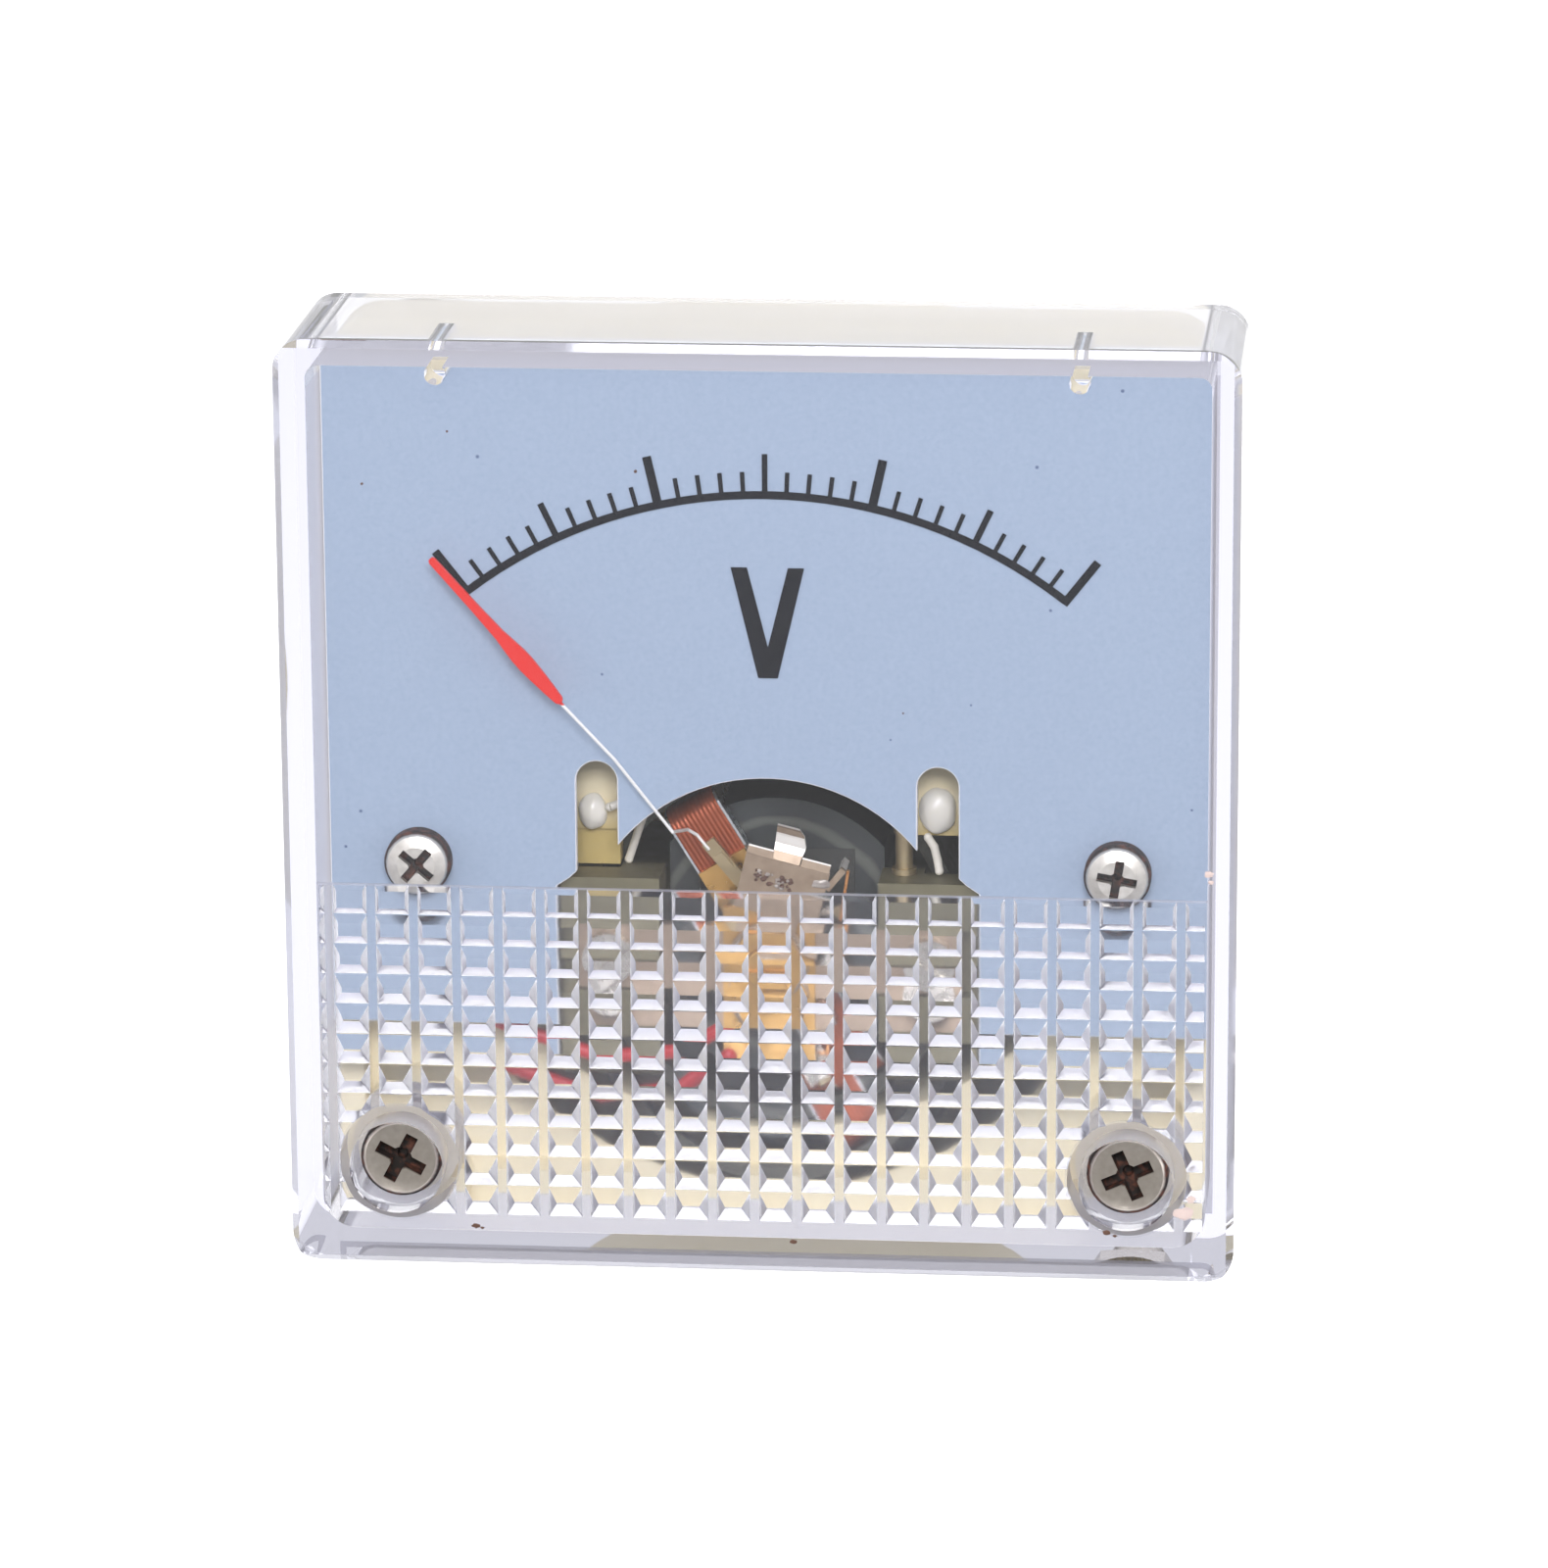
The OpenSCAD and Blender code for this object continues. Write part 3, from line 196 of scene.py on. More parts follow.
def moulded_clear_styrene():
    """Clear moulded polystyrene: glossy window, frosted facets and hazy inner walls."""
    material, tree = blank_material("moulded_clear_styrene")
    place = coordinates(tree)
    at = add_node(tree, "ShaderNodeSeparateXYZ", None, {"Vector": place})
    depth, up = at.outputs["Y"], at.outputs["Z"]
    unsigned = add_node(tree, "ShaderNodeVectorMath", {"operation": "ABSOLUTE"}, {0: place})
    apart = add_node(tree, "ShaderNodeSeparateXYZ", None, {"Vector": unsigned.outputs[0]})
    reach = add_node(tree, "ShaderNodeMath", {"operation": "MAXIMUM"},
                     {0: apart.outputs["X"], 1: apart.outputs["Z"]}).outputs[0]
    lower = add_node(tree, "ShaderNodeCombineXYZ", None, {"X": apart.outputs["X"], "Z": up})
    away = add_node(tree, "ShaderNodeVectorMath", {"operation": "DISTANCE"},
                    {0: lower.outputs[0], 1: (COVER["screw_x"], 0, COVER["screw_z"])})
    # the window's inner face with its facets, the skirt's inner faces and the screw bosses
    inner_face = COVER["window_back"]
    window = (depth, inner_face - 0.55 * MM, inner_face + 0.05 * MM)
    skirt = [(reach, COVER["inner_half"] - 0.15 * MM, COVER["inner_half"] + 0.15 * MM),
             (depth, inner_face + 0.05 * MM, FAR)]
    bosses = [(away.outputs["Value"], 0, BOSS_RADIUS), (depth, COVER["front"] + 0.3 * MM, FAR)]
    facets = inside(tree, window, (up, -FAR, COVER["facet_top"]))
    upper_edge = inside(tree, window, (up, COVER["facet_top"] - 0.13 * MM,
                                       COVER["facet_top"] - 0.01 * MM))
    haze = 0.0
    for mask, share in ((inside(tree, *skirt), 0.3),
                        (inside(tree, *skirt, (up, -FAR, COVER["haze_top"])), 0.65),
                        (inside(tree, *bosses), 0.3), (facets, 0.13), (upper_edge, 0.6)):
        part = add_node(tree, "ShaderNodeMath", {"operation": "MULTIPLY"}, {0: mask, 1: share})
        haze = add_node(tree, "ShaderNodeMath", {"operation": "MAXIMUM"},
                        {0: haze, 1: part.outputs[0]}).outputs[0]
    ripple = add_node(tree, "ShaderNodeTexNoise", None,
                      {"Vector": place, "Scale": per_mm(6), "Detail": 1.0})
    relief = add_node(tree, "ShaderNodeBump", None,
                      {"Height": ripple.outputs["Fac"], "Distance": 0.004 * MM, "Strength": 1.0})
    rough = add_node(tree, "ShaderNodeMath", {"operation": "MULTIPLY_ADD"},
                     {0: facets, 1: 0.1, 2: 0.02})
    clear = add_node(tree, "ShaderNodeBsdfPrincipled", None,
                     {"Base Color": srgb("#FCFCFE"), "Roughness": rough.outputs[0], "IOR": 1.58,
                      "Transmission Weight": 1.0, "Normal": relief.outputs[0]})
    near_side = add_node(tree, "ShaderNodeBsdfDiffuse", None, {"Color": srgb("#C9C9D2")})
    far_side = add_node(tree, "ShaderNodeBsdfTranslucent", None, {"Color": srgb("#C9C9D2")})
    milk = add_node(tree, "ShaderNodeMixShader", None,
                    {0: 0.5, 1: near_side.outputs[0], 2: far_side.outputs[0]})
    hazy = add_node(tree, "ShaderNodeMixShader", None,
                    {0: haze, 1: clear.outputs[0], 2: milk.outputs[0]})
    # lamps and bounced light pass straight through, so that the inside is lit
    through = add_node(tree, "ShaderNodeBsdfTransparent", None, {"Color": srgb("#F8F8FA")})
    surface = add_node(tree, "ShaderNodeMixShader", None,
                       {0: seen_by(tree, "Shadow", "Diffuse"), 1: hazy.outputs[0],
                        2: through.outputs[0]})
    tint = add_node(tree, "ShaderNodeVolumeAbsorption", None,
                    {"Color": srgb("#DCDCE6"), "Density": 120.0})
    add_node(tree, "ShaderNodeOutputMaterial", None,
             {"Surface": surface.outputs[0], "Volume": tint.outputs[0]})
    return material


def pale_blue_dial_paint(light, dark):
    """Matt stoved paint on aluminium sheet: pale blue, finely mottled, with a few dark specks."""
    material, tree = blank_material("pale_blue_dial_paint")
    place = coordinates(tree)
    mottle = add_node(tree, "ShaderNodeTexNoise", None,
                      {"Vector": place, "Scale": per_mm(0.25), "Detail": 3.0, "Roughness": 0.7})
    colour = add_node(tree, "ShaderNodeMix", {"data_type": "RGBA"},
                      {"Factor": mottle.outputs["Fac"], 6: dark, 7: light})
    cells = add_node(tree, "ShaderNodeTexVoronoi", None,
                     {"Vector": place, "Scale": per_mm(3.1), "Randomness": 1.0})
    speck = add_node(tree, "ShaderNodeMath", {"operation": "LESS_THAN"},
                     {0: cells.outputs["Distance"], 1: 0.028})
    marked = add_node(tree, "ShaderNodeMix", {"data_type": "RGBA"},
                      {"Factor": speck.outputs[0], 6: colour.outputs[2],
                       7: srgb("#5E6F8C")})
    relief = add_node(tree, "ShaderNodeBump", None,
                      {"Height": mottle.outputs["Fac"], "Distance": 0.003 * MM})
    shader = add_node(tree, "ShaderNodeBsdfPrincipled", None,
                      {"Base Color": marked.outputs[2], "Roughness": 0.55,
                       "Normal": relief.outputs[0]})
    add_node(tree, "ShaderNodeOutputMaterial", None, {"Surface": shader.outputs[0]})
    return material


def moulded_ivory_abs():
    """Ivory ABS, satin; the guide posts beside the movement carry painted shade, dark olive
    yellow, strongest at the foot.
    """
    material, tree = blank_material("moulded_ivory_abs")
    place = coordinates(tree)
    at = add_node(tree, "ShaderNodeSeparateXYZ", None, {"Vector": place})
    mottle = add_node(tree, "ShaderNodeTexNoise", None,
                      {"Vector": place, "Scale": per_mm(4), "Detail": 4.0})
    fresh = add_node(tree, "ShaderNodeMix", {"data_type": "RGBA"},
                     {"Factor": mottle.outputs["Fac"],
                      6: srgb("#E8DCB8"), 7: srgb("#F3EBCF")})
    # painted shade on the guide posts: dark olive yellow at the foot, fading to ivory above
    foot = add_node(tree, "ShaderNodeMapRange", None,
                    {"Value": at.outputs["Z"], "From Min": POST["foot"],
                     "From Max": POST["shade_fades"]})
    post_foot_shade_colour = add_node(tree, "ShaderNodeMix", {"data_type": "RGBA"},
                    {"Factor": foot.outputs[0], 6: srgb("#C4AE6C"), 7: srgb("#F0E3BE")})
    aside = add_node(tree, "ShaderNodeMath", {"operation": "ABSOLUTE"}, {0: at.outputs["X"]})
    post = inside(tree, (aside.outputs[0], POST["inner"], POST["outer"]),
                  (at.outputs["Y"], POST["front"], POST["back"]),
                  (at.outputs["Z"], POST["low"], POST["high"]))
    colour = add_node(tree, "ShaderNodeMix", {"data_type": "RGBA"},
                      {"Factor": post, 6: fresh.outputs[2], 7: post_foot_shade_colour.outputs[2]})
    grain = add_node(tree, "ShaderNodeTexNoise", None,
                     {"Vector": place, "Scale": per_mm(0.3), "Detail": 2.0})
    relief = add_node(tree, "ShaderNodeBump", None,
                      {"Height": grain.outputs["Fac"], "Distance": 0.004 * MM})
    shader = add_node(tree, "ShaderNodeBsdfPrincipled", None,
                      {"Base Color": colour.outputs[2], "Roughness": 0.45,
                       "Subsurface Weight": 0.12, "Subsurface Radius": (0.002, 0.0018, 0.0012),
                       "Normal": relief.outputs[0]})
    add_node(tree, "ShaderNodeOutputMaterial", None, {"Surface": shader.outputs[0]})
    return material


def enamelled_copper_winding():
    """Fine enamelled copper wire laid side by side, drawn 0.217 mm apart so that it shows."""
    material, tree = blank_material("enamelled_copper_winding")
    place = coordinates(tree, COIL_TILT, (0, 0, PIVOT_Z))
    wires = add_node(tree, "ShaderNodeTexWave",
                     {"wave_type": "BANDS", "bands_direction": "X", "wave_profile": "SIN"},
                     {"Vector": place, "Scale": per_wave(0.2171), "Distortion": 0.6,
                      "Detail": 1.0})
    patch = add_node(tree, "ShaderNodeTexNoise", None,
                     {"Vector": place, "Scale": per_mm(1.4), "Detail": 2.0})
    colour = add_node(tree, "ShaderNodeMix", {"data_type": "RGBA"},
                      {"Factor": patch.outputs["Fac"],
                       6: srgb("#7A3518"), 7: srgb("#B95C34")})
    relief = add_node(tree, "ShaderNodeBump", None,
                      {"Height": wires.outputs["Fac"], "Distance": 0.02 * MM})
    shader = add_node(tree, "ShaderNodeBsdfPrincipled", None,
                      {"Base Color": colour.outputs[2], "Roughness": 0.42, "Metallic": 0.45,
                       "Normal": relief.outputs[0]})
    add_node(tree, "ShaderNodeOutputMaterial", None, {"Surface": shader.outputs[0]})
    return material


def needle_paint(red_paint):
    """Aluminium needle, bare below and dipped in fluorescent red paint above."""
    material, tree = blank_material("needle_paint")
    place = coordinates(tree)
    height = add_node(tree, "ShaderNodeSeparateXYZ", None, {"Vector": place})
    painted = add_node(tree, "ShaderNodeMath", {"operation": "GREATER_THAN"},
                       {0: height.outputs["Z"], 1: NEEDLE_PAINT_FROM})
    red = add_node(tree, "ShaderNodeBsdfPrincipled", None,
                   {"Base Color": red_paint, "Roughness": 0.5})
    bare = add_node(tree, "ShaderNodeBsdfPrincipled", None,
                    {"Base Color": srgb("#F2F0EA"), "Roughness": 0.4, "Metallic": 0.3})
    surface = add_node(tree, "ShaderNodeMixShader", None,
                       {0: painted.outputs[0], 1: bare.outputs[0], 2: red.outputs[0]})
    add_node(tree, "ShaderNodeOutputMaterial", None, {"Surface": surface.outputs[0]})
    return material


def regulator_metal_painted_light(face):
    """Warm nickel silver: the face darker and mottled; what is bent back from the face gets a
    painted highlight, a bright copy of the metal.
    """
    material, tree = blank_material("regulator_nickel_silver")
    place = coordinates(tree)
    depth = add_node(tree, "ShaderNodeSeparateXYZ", None, {"Vector": place}).outputs["Y"]
    patch = add_node(tree, "ShaderNodeTexNoise", None,
                     {"Vector": place, "Scale": per_mm(0.5), "Detail": 3.0})
    face_tone = add_node(tree, "ShaderNodeMix", {"data_type": "RGBA"},
                      {"Factor": patch.outputs["Fac"],
                       6: srgb("#7E6B59"), 7: srgb("#A8967F")})
    flat = add_node(tree, "ShaderNodeBsdfPrincipled", None,
                    {"Base Color": face_tone.outputs[2], "Roughness": 0.45, "Metallic": 0.5})
    # painted highlight: the bent-back parts in a bright copy of the metal
    bright = add_node(tree, "ShaderNodeBsdfPrincipled", None,
                      {"Base Color": srgb("#F4F0E6"), "Roughness": 0.3, "Metallic": 0.6})
    bent = inside(tree, (depth, face + REGULATOR_HIGHLIGHT_DEPTH, FAR))
    surface = add_node(tree, "ShaderNodeMixShader", None,
                       {0: bent, 1: flat.outputs[0], 2: bright.outputs[0]})
    add_node(tree, "ShaderNodeOutputMaterial", None, {"Surface": surface.outputs[0]})
    return material


def turned_core_iron():
    """Dark iron with the faint rings of facing on a lathe, about the pointer axis."""
    material, tree = blank_material("turned_core_iron")
    place = coordinates(tree, 0, (0, 0, PIVOT_Z))
    rings = add_node(tree, "ShaderNodeTexWave",
                     {"wave_type": "RINGS", "rings_direction": "Y", "wave_profile": "SIN"},
                     {"Vector": place, "Scale": per_wave(2.27), "Distortion": 1.2,
                      "Detail": 3.0, "Detail Scale": 2.0}).outputs["Fac"]
    faint = add_node(tree, "ShaderNodeMapRange", None,
                     {"Value": rings, "From Min": 0.8, "From Max": 1.0})
    colour = add_node(tree, "ShaderNodeMix", {"data_type": "RGBA"},
                      {"Factor": faint.outputs[0], 6: srgb("#474B4A"), 7: srgb("#6F716B")})
    relief = add_node(tree, "ShaderNodeBump", None, {"Height": rings, "Distance": 0.01 * MM})
    shader = add_node(tree, "ShaderNodeBsdfPrincipled", None,
                      {"Base Color": colour.outputs[2], "Roughness": 0.42, "Metallic": 0.5,
                       "Normal": relief.outputs[0]})
    add_node(tree, "ShaderNodeOutputMaterial", None, {"Surface": shader.outputs[0]})
    return material


def screw_metal_recess_shade_and_grime(name, light, dark, face_depth):
    """Plated screw whose cross recess, below this face, darkens with depth: painted shade mixed
    with dark brown grime.
    """
    material, tree = blank_material(name)
    place = coordinates(tree)
    depth = add_node(tree, "ShaderNodeSeparateXYZ", None, {"Vector": place})
    patch = add_node(tree, "ShaderNodeTexNoise", None,
                     {"Vector": place, "Scale": per_mm(0.35), "Detail": 2.0})
    # the recess darkens with depth: painted shade, with brown grime in it
    ragged = add_node(tree, "ShaderNodeMath", {"operation": "MULTIPLY_ADD"},
                      {0: patch.outputs["Fac"], 1: RECESS_SHADE_AND_GRIME_RAGGED, 2: depth.outputs["Y"]})
    grime = add_node(tree, "ShaderNodeMapRange", None,
                     {"Value": ragged.outputs[0], "From Min": face_depth + RECESS_SHADE_AND_GRIME_DEPTHS[0],
                      "From Max": face_depth + RECESS_SHADE_AND_GRIME_DEPTHS[1]})
    plating = add_node(tree, "ShaderNodeMix", {"data_type": "RGBA"},
                       {"Factor": patch.outputs["Fac"], 6: srgb(dark), 7: srgb(light)})
    metal = add_node(tree, "ShaderNodeBsdfPrincipled", None,
                     {"Base Color": plating.outputs[2], "Roughness": 0.34, "Metallic": 0.85})
    # near black to red-brown: the painted shade and the grime of the recess
    recess_shade_and_grime_spread = add_node(tree, "ShaderNodeMapRange", None,
                     {"Value": patch.outputs["Fac"], "From Min": 0.45, "From Max": 0.7})
    recess_shade_and_grime_colour = add_node(tree, "ShaderNodeMix", {"data_type": "RGBA"},
                    {"Factor": recess_shade_and_grime_spread.outputs[0], 6: srgb("#18100C"), 7: srgb("#5E3526")})
    dirt = add_node(tree, "ShaderNodeBsdfPrincipled", None,
                    {"Base Color": recess_shade_and_grime_colour.outputs[2], "Roughness": 0.7})
    surface = add_node(tree, "ShaderNodeMixShader", None,
                       {0: grime.outputs[0], 1: metal.outputs[0], 2: dirt.outputs[0]})
    add_node(tree, "ShaderNodeOutputMaterial", None, {"Surface": surface.outputs[0]})
    return material


FINISHES = {}


def mixed_finishes(pieces):
    """Every finish by a short name; the dial and the needle take their colours from settings.

    A plain finish is a name, a light and a dark colour, its grain in millimetres, its
    roughness and how metallic it is.
    """
    return {
        # plated steel gone warm grey, with painted shade and brown grime in the cross
        "cover_screw": screw_metal_recess_shade_and_grime("grimed_cover_screw", "#E2DACF", "#C4B9AC",
                                          top_of("cover_screw_left")),
        # plated steel, brighter than the cover's screws, with painted shade and brown grime in
        # the cross
        "dial_screw": screw_metal_recess_shade_and_grime("grimed_dial_screw", "#E6E2D8", "#BDB8AC",
                                         top_of("dial_screw_left") + 0.25 * MM),
        # sheared aluminium: a bright hairline round the blue sheet
        "cut_edge": plain_finish("sheared_aluminium_edge", "#F4F5F6", "#DADCDE", 0.3, 0.4, 0.2),
        # solder grains, dull grey with dark flux between
        "solder": plain_finish("dull_solder_and_flux", "#D8CFC4", "#35231A", 0.22, 0.4, 0.3,
                               bump=0.02),
        # dried dirt: brown and matt
        "grime": plain_finish("brown_grime", "#6B4A3A", "#3C2A22", 0.2, 0.6),
        # dust: pale, pinkish and matt
        "dust": plain_finish("pale_dust", "#D9C9C4", "#C4ADA8", 0.2, 0.8),
        "clear": moulded_clear_styrene(),
        "dial": pale_blue_dial_paint(tuple(pieces.dial_light), tuple(pieces.dial_dark)),
        "winding": enamelled_copper_winding(),
        "needle": needle_paint(tuple(pieces.needle_red)),
        "ivory": moulded_ivory_abs(),
        # screen print: dense black with hardly any sheen
        "ink": plain_finish("screen_printed_ink", "#10121A", "#07080C", 0.3, 0.7,
                            extra={"Specular IOR Level": 0.15}),
        # nickel plate: a light, slightly warm mirror
        "nickel": plain_finish("nickel_plated_steel", "#D6D2CA", "#A9A49B", 0.5, 0.26, 1.0),
        # pressed iron: dark and dull
        "iron": plain_finish("dark_pressed_iron", "#57574F", "#35362F", 0.5, 0.5, 0.6),
        "core": turned_core_iron(),
        # nickel silver regulator with a painted highlight on what is bent back
        "regulator": regulator_metal_painted_light(top_of("zero_regulator")),
        # sintered magnet: nearly black, dull
        "magnet": plain_finish("sintered_magnet", "#50504C", "#363835", 0.4, 0.6, 0.3),
        # cast zinc: olive brown, half dull
        "frame": plain_finish("cast_zinc_frame", "#827C62", "#5A5642", 0.8, 0.5, 0.5),
        # rolled brass: golden with soft highlights
        "brass": plain_finish("rolled_brass", "#CFA868", "#A88046", 0.6, 0.34, 0.95),
        # nickel silver: dull warm beige
        "warm_nickel": plain_finish("warm_nickel_silver", "#AF9D8A", "#8E7C68", 0.35, 0.42, 0.6),
        # pressed brass, tarnished pale
        "holder": plain_finish("pressed_holder_brass", "#B9A988", "#8C7C5A", 0.5, 0.38, 0.8),
        # thin aluminium: bright and cool
        "aluminium": plain_finish("bright_aluminium", "#D9DCDD", "#B4B9BB", 0.5, 0.3, 1.0),
        # synthetic ruby: deep red and glossy
        "ruby": plain_finish("synthetic_ruby", "#D0203E", "#A0142C", 0.5, 0.12),
        # phosphor bronze strip: orange gold
        "bronze": plain_finish("phosphor_bronze", "#D9A06A", "#B87C48", 0.4, 0.3, 1.0),
        # extruded sleeve: off-white and satin
        "sleeve": plain_finish("white_lead_sleeve", "#F2EEE2", "#DAD4C2", 0.4, 0.5),
        # set glue: milky, light goes a little way in
        "glue": plain_finish("set_white_glue", "#F7F4EA", "#E9E3D2", 0.6, 0.35,
                             extra={"Subsurface Weight": 0.3,
                                    "Subsurface Radius": (0.001, 0.001, 0.0008)}),
        # PVC insulation: red with a soft gloss
        "red_pvc": plain_finish("red_pvc_insulation", "#D2202A", "#A8121C", 0.8, 0.35),
        # lacquer: tan with a soft gloss
        "resistor": plain_finish("lacquered_resistor", "#C6A678", "#AE8C5C", 0.6, 0.35),
        # tinned copper wire: silvery
        "tin": plain_finish("tinned_wire", "#C9CCD0", "#9A9DA2", 0.4, 0.35, 1.0),
    }


def dress(**groups):
    """Gives every material slot of some CAD nodes one finish, as finish=[nodes]."""
    for finish, names in groups.items():
        for name in names:
            for slot in NODES[name].material_slots:
                slot.material = FINISHES[finish]


# ---- settings --------------------------------------------------------------

class MeterPieceSettings(bpy.types.PropertyGroup):
    """Colours and sizes of what is made here."""
    needle_red: FloatVectorProperty(
        name="Needle red", description="Paint on the upper part of the needle",
        subtype="COLOR", size=4, min=0, max=1, default=srgb("#E2261C"))
    dial_light: FloatVectorProperty(
        name="Dial, light", description="Lighter colour of the mottled dial paint",
        subtype="COLOR", size=4, min=0, max=1, default=srgb("#ABBACB"))
    dial_dark: FloatVectorProperty(
        name="Dial, dark", description="Darker colour of the mottled dial paint",
        subtype="COLOR", size=4, min=0, max=1, default=srgb("#93A5B9"))
    dial_edge: FloatProperty(
        name="Dial edge", description="Rounding of the dial sheet's edges",
        default=0.06 * MM, min=0, precision=5, unit="LENGTH")
    terminal_pitch: FloatProperty(
        name="Terminal pitch", description="Thread pitch of the two M4 terminals",
        default=0.7 * MM, min=0.2 * MM, precision=5, unit="LENGTH")
    panel_pitch: FloatProperty(
        name="Panel stud pitch", description="Thread pitch of the two M3 panel studs",
        default=0.5 * MM, min=0.2 * MM, precision=5, unit="LENGTH")
    grain_count: IntProperty(
        name="Solder grains", description="Grains of solder on the regulator's plate",
        default=34, min=0)


class MeterStageSettings(bpy.types.PropertyGroup):
    """Camera, lamps, floor and white surround."""
    focal_length: FloatProperty(
        name="Focal length", description="Lens on a 36 mm wide sensor",
        default=173.92, min=50, max=400, unit="CAMERA")
    floor_height: FloatProperty(
        name="Floor height", description="Height of the floor in the row frame",
        default=-0.08, unit="LENGTH")
    key_power: FloatProperty(
        name="Key power", description="Power of the large lamp above and in front",
        default=1.2, min=0, subtype="POWER")
    front_power: FloatProperty(
        name="Front power", description="Power of the small soft lamp above the camera",
        default=2.4, min=0, subtype="POWER")
    fill_power: FloatProperty(
        name="Fill power", description="Power of each lamp at the sides and behind",
        default=1.0, min=0, subtype="POWER")
    room_low: FloatProperty(
        name="Room, low", description="What mirrors see of the room in front, near the floor",
        default=0.1, min=0, max=1)
    room_high: FloatProperty(
        name="Room, high", description="What mirrors see of the room in front, overhead",
        default=1.0, min=0, max=1)
    sky: FloatProperty(
        name="Sky", description="Strength of the even white surround on diffuse surfaces",
        default=0.45, min=0, max=2)


# ---- stage -----------------------------------------------------------------

SENSOR_WIDTH = 36               # millimetres
CAMERA_PLACE = Vector((33.981, -346.491, 94.652)) * MM
CAMERA_AHEAD = Vector((-0.09480, 0.95933, -0.26591))
CAMERA_UP = (-0.01969, 0.26525, 0.96398)
WHITE = (1, 1, 1, 1)
FLOOR_GREY = (0.55, 0.55, 0.55, 1)
FLOOR_HALF = 0.5                # the floor is square, and lies behind the meter
FLOOR_CENTRE_Y = 0.44
# place in metres, width and height, and the setting that holds the power
LAMPS = {
    "key_lamp": ((-0.12, -0.40, 0.48), (0.45, 0.35), "key_power"),
    "front_lamp": ((0.06, -0.48, 0.26), (0.22, 0.14), "front_power"),
    "left_lamp": ((-0.50, -0.20, 0.10), (0.35, 0.35), "fill_power"),
    "right_lamp": ((0.50, -0.20, 0.10), (0.35, 0.35), "fill_power"),
    "back_lamp": ((0.10, 0.45, 0.35), (0.35, 0.35), "fill_power"),
}


def aim(thing, place, target, up=(0, 0, 1)):
    """Puts a camera or lamp at a place, looking at a target."""
    back = (Vector(place) - Vector(target)).normalized()
    side = Vector(up).cross(back).normalized()
    rise = back.cross(side)
    turn = Matrix((side, rise, back)).transposed().to_4x4()
    thing.matrix_world = Matrix.Translation(place) @ turn


class METER_OT_stage(bpy.types.Operator):
    """Sets the camera, the soft lamps, the white surround and the pale floor"""
    bl_idname = "meter.stage"
    bl_label = "Set the stage"

    def execute(self, context):
        settings = context.scene.meter_stage
        lens = bpy.data.cameras.new("meter_camera")
        lens.sensor_fit = "HORIZONTAL"
        lens.sensor_width = SENSOR_WIDTH
        lens.lens = settings.focal_length
        lens.clip_start = 0.01
        camera = bpy.data.objects.new("meter_camera", lens)
        context.scene.collection.objects.link(camera)
        aim(camera, CAMERA_PLACE, CAMERA_PLACE + CAMERA_AHEAD, CAMERA_UP)
        context.scene.camera = camera

        for name, (spot, size, power) in LAMPS.items():
            light = bpy.data.lights.new(name, "AREA")
            light.shape = "RECTANGLE"
            light.size, light.size_y = size
            light.energy = getattr(settings, power)
            lamp = bpy.data.objects.new(name, light)
            context.scene.collection.objects.link(lamp)
            aim(lamp, spot, (0, 0, 0))

        world = bpy.data.worlds.new("white_surround")
        context.scene.world = world
        world.use_nodes = True
        tree = world.node_tree
        tree.nodes.clear()
        # behind the object all is white; in front of it, mirrors see a dim room
        ahead_of = add_node(tree, "ShaderNodeSeparateXYZ", None,
                            {"Vector": add_node(tree, "ShaderNodeTexCoord").outputs["Generated"]})
        room = add_node(tree, "ShaderNodeMapRange", None,
                        {"Value": ahead_of.outputs["Z"], "From Min": -0.1, "From Max": 0.7,
                         "To Min": settings.room_low, "To Max": settings.room_high})
        behind = add_node(tree, "ShaderNodeMapRange", None,
                          {"Value": ahead_of.outputs["Y"], "From Min": -0.35, "From Max": 0.05})
        mirrored = add_node(tree, "ShaderNodeMix", {"data_type": "FLOAT"},
                            {0: behind.outputs[0], 2: room.outputs[0], 3: 1.0})
        glossy = add_node(tree, "ShaderNodeMix", {"data_type": "FLOAT"},
                          {0: seen_by(tree, "Glossy"), 2: settings.sky,
                           3: mirrored.outputs[0]})
        strength = add_node(tree, "ShaderNodeMix", {"data_type": "FLOAT"},
                            {0: seen_by(tree, "Camera", "Transmission"),
                             2: glossy.outputs[0], 3: 1.0})
        sky = add_node(tree, "ShaderNodeBackground", None,
                       {"Color": WHITE, "Strength": strength.outputs[0]})
        add_node(tree, "ShaderNodeOutputWorld", None, {"Surface": sky.outputs[0]})

        mesh = bpy.data.meshes.new("floor")
        shape = bmesh.new()
        bmesh.ops.create_grid(shape, x_segments=1, y_segments=1, size=FLOOR_HALF)
        bmesh.ops.translate(shape, verts=shape.verts,
                            vec=(0, FLOOR_CENTRE_Y, settings.floor_height))
        shape.to_mesh(mesh)
        shape.free()
        floor = bpy.data.objects.new("floor", mesh)
        context.scene.collection.objects.link(floor)
        material, tree = blank_material("matt_white_floor")
        paint = add_node(tree, "ShaderNodeBsdfDiffuse", None, {"Color": FLOOR_GREY})
        glow = add_node(tree, "ShaderNodeEmission", None,
                        {"Color": WHITE, "Strength": seen_by(tree, "Camera", "Glossy",
                                                             "Transmission")})
        both = add_node(tree, "ShaderNodeAddShader", None,
                        {0: paint.outputs[0], 1: glow.outputs[0]})
        add_node(tree, "ShaderNodeOutputMaterial", None, {"Surface": both.outputs[0]})
        mesh.materials.append(material)
        context.scene.view_settings.view_transform = "Standard"
        return {"FINISHED"}


# ---- sizes of the new pieces, in millimetres unless they carry MM -----------

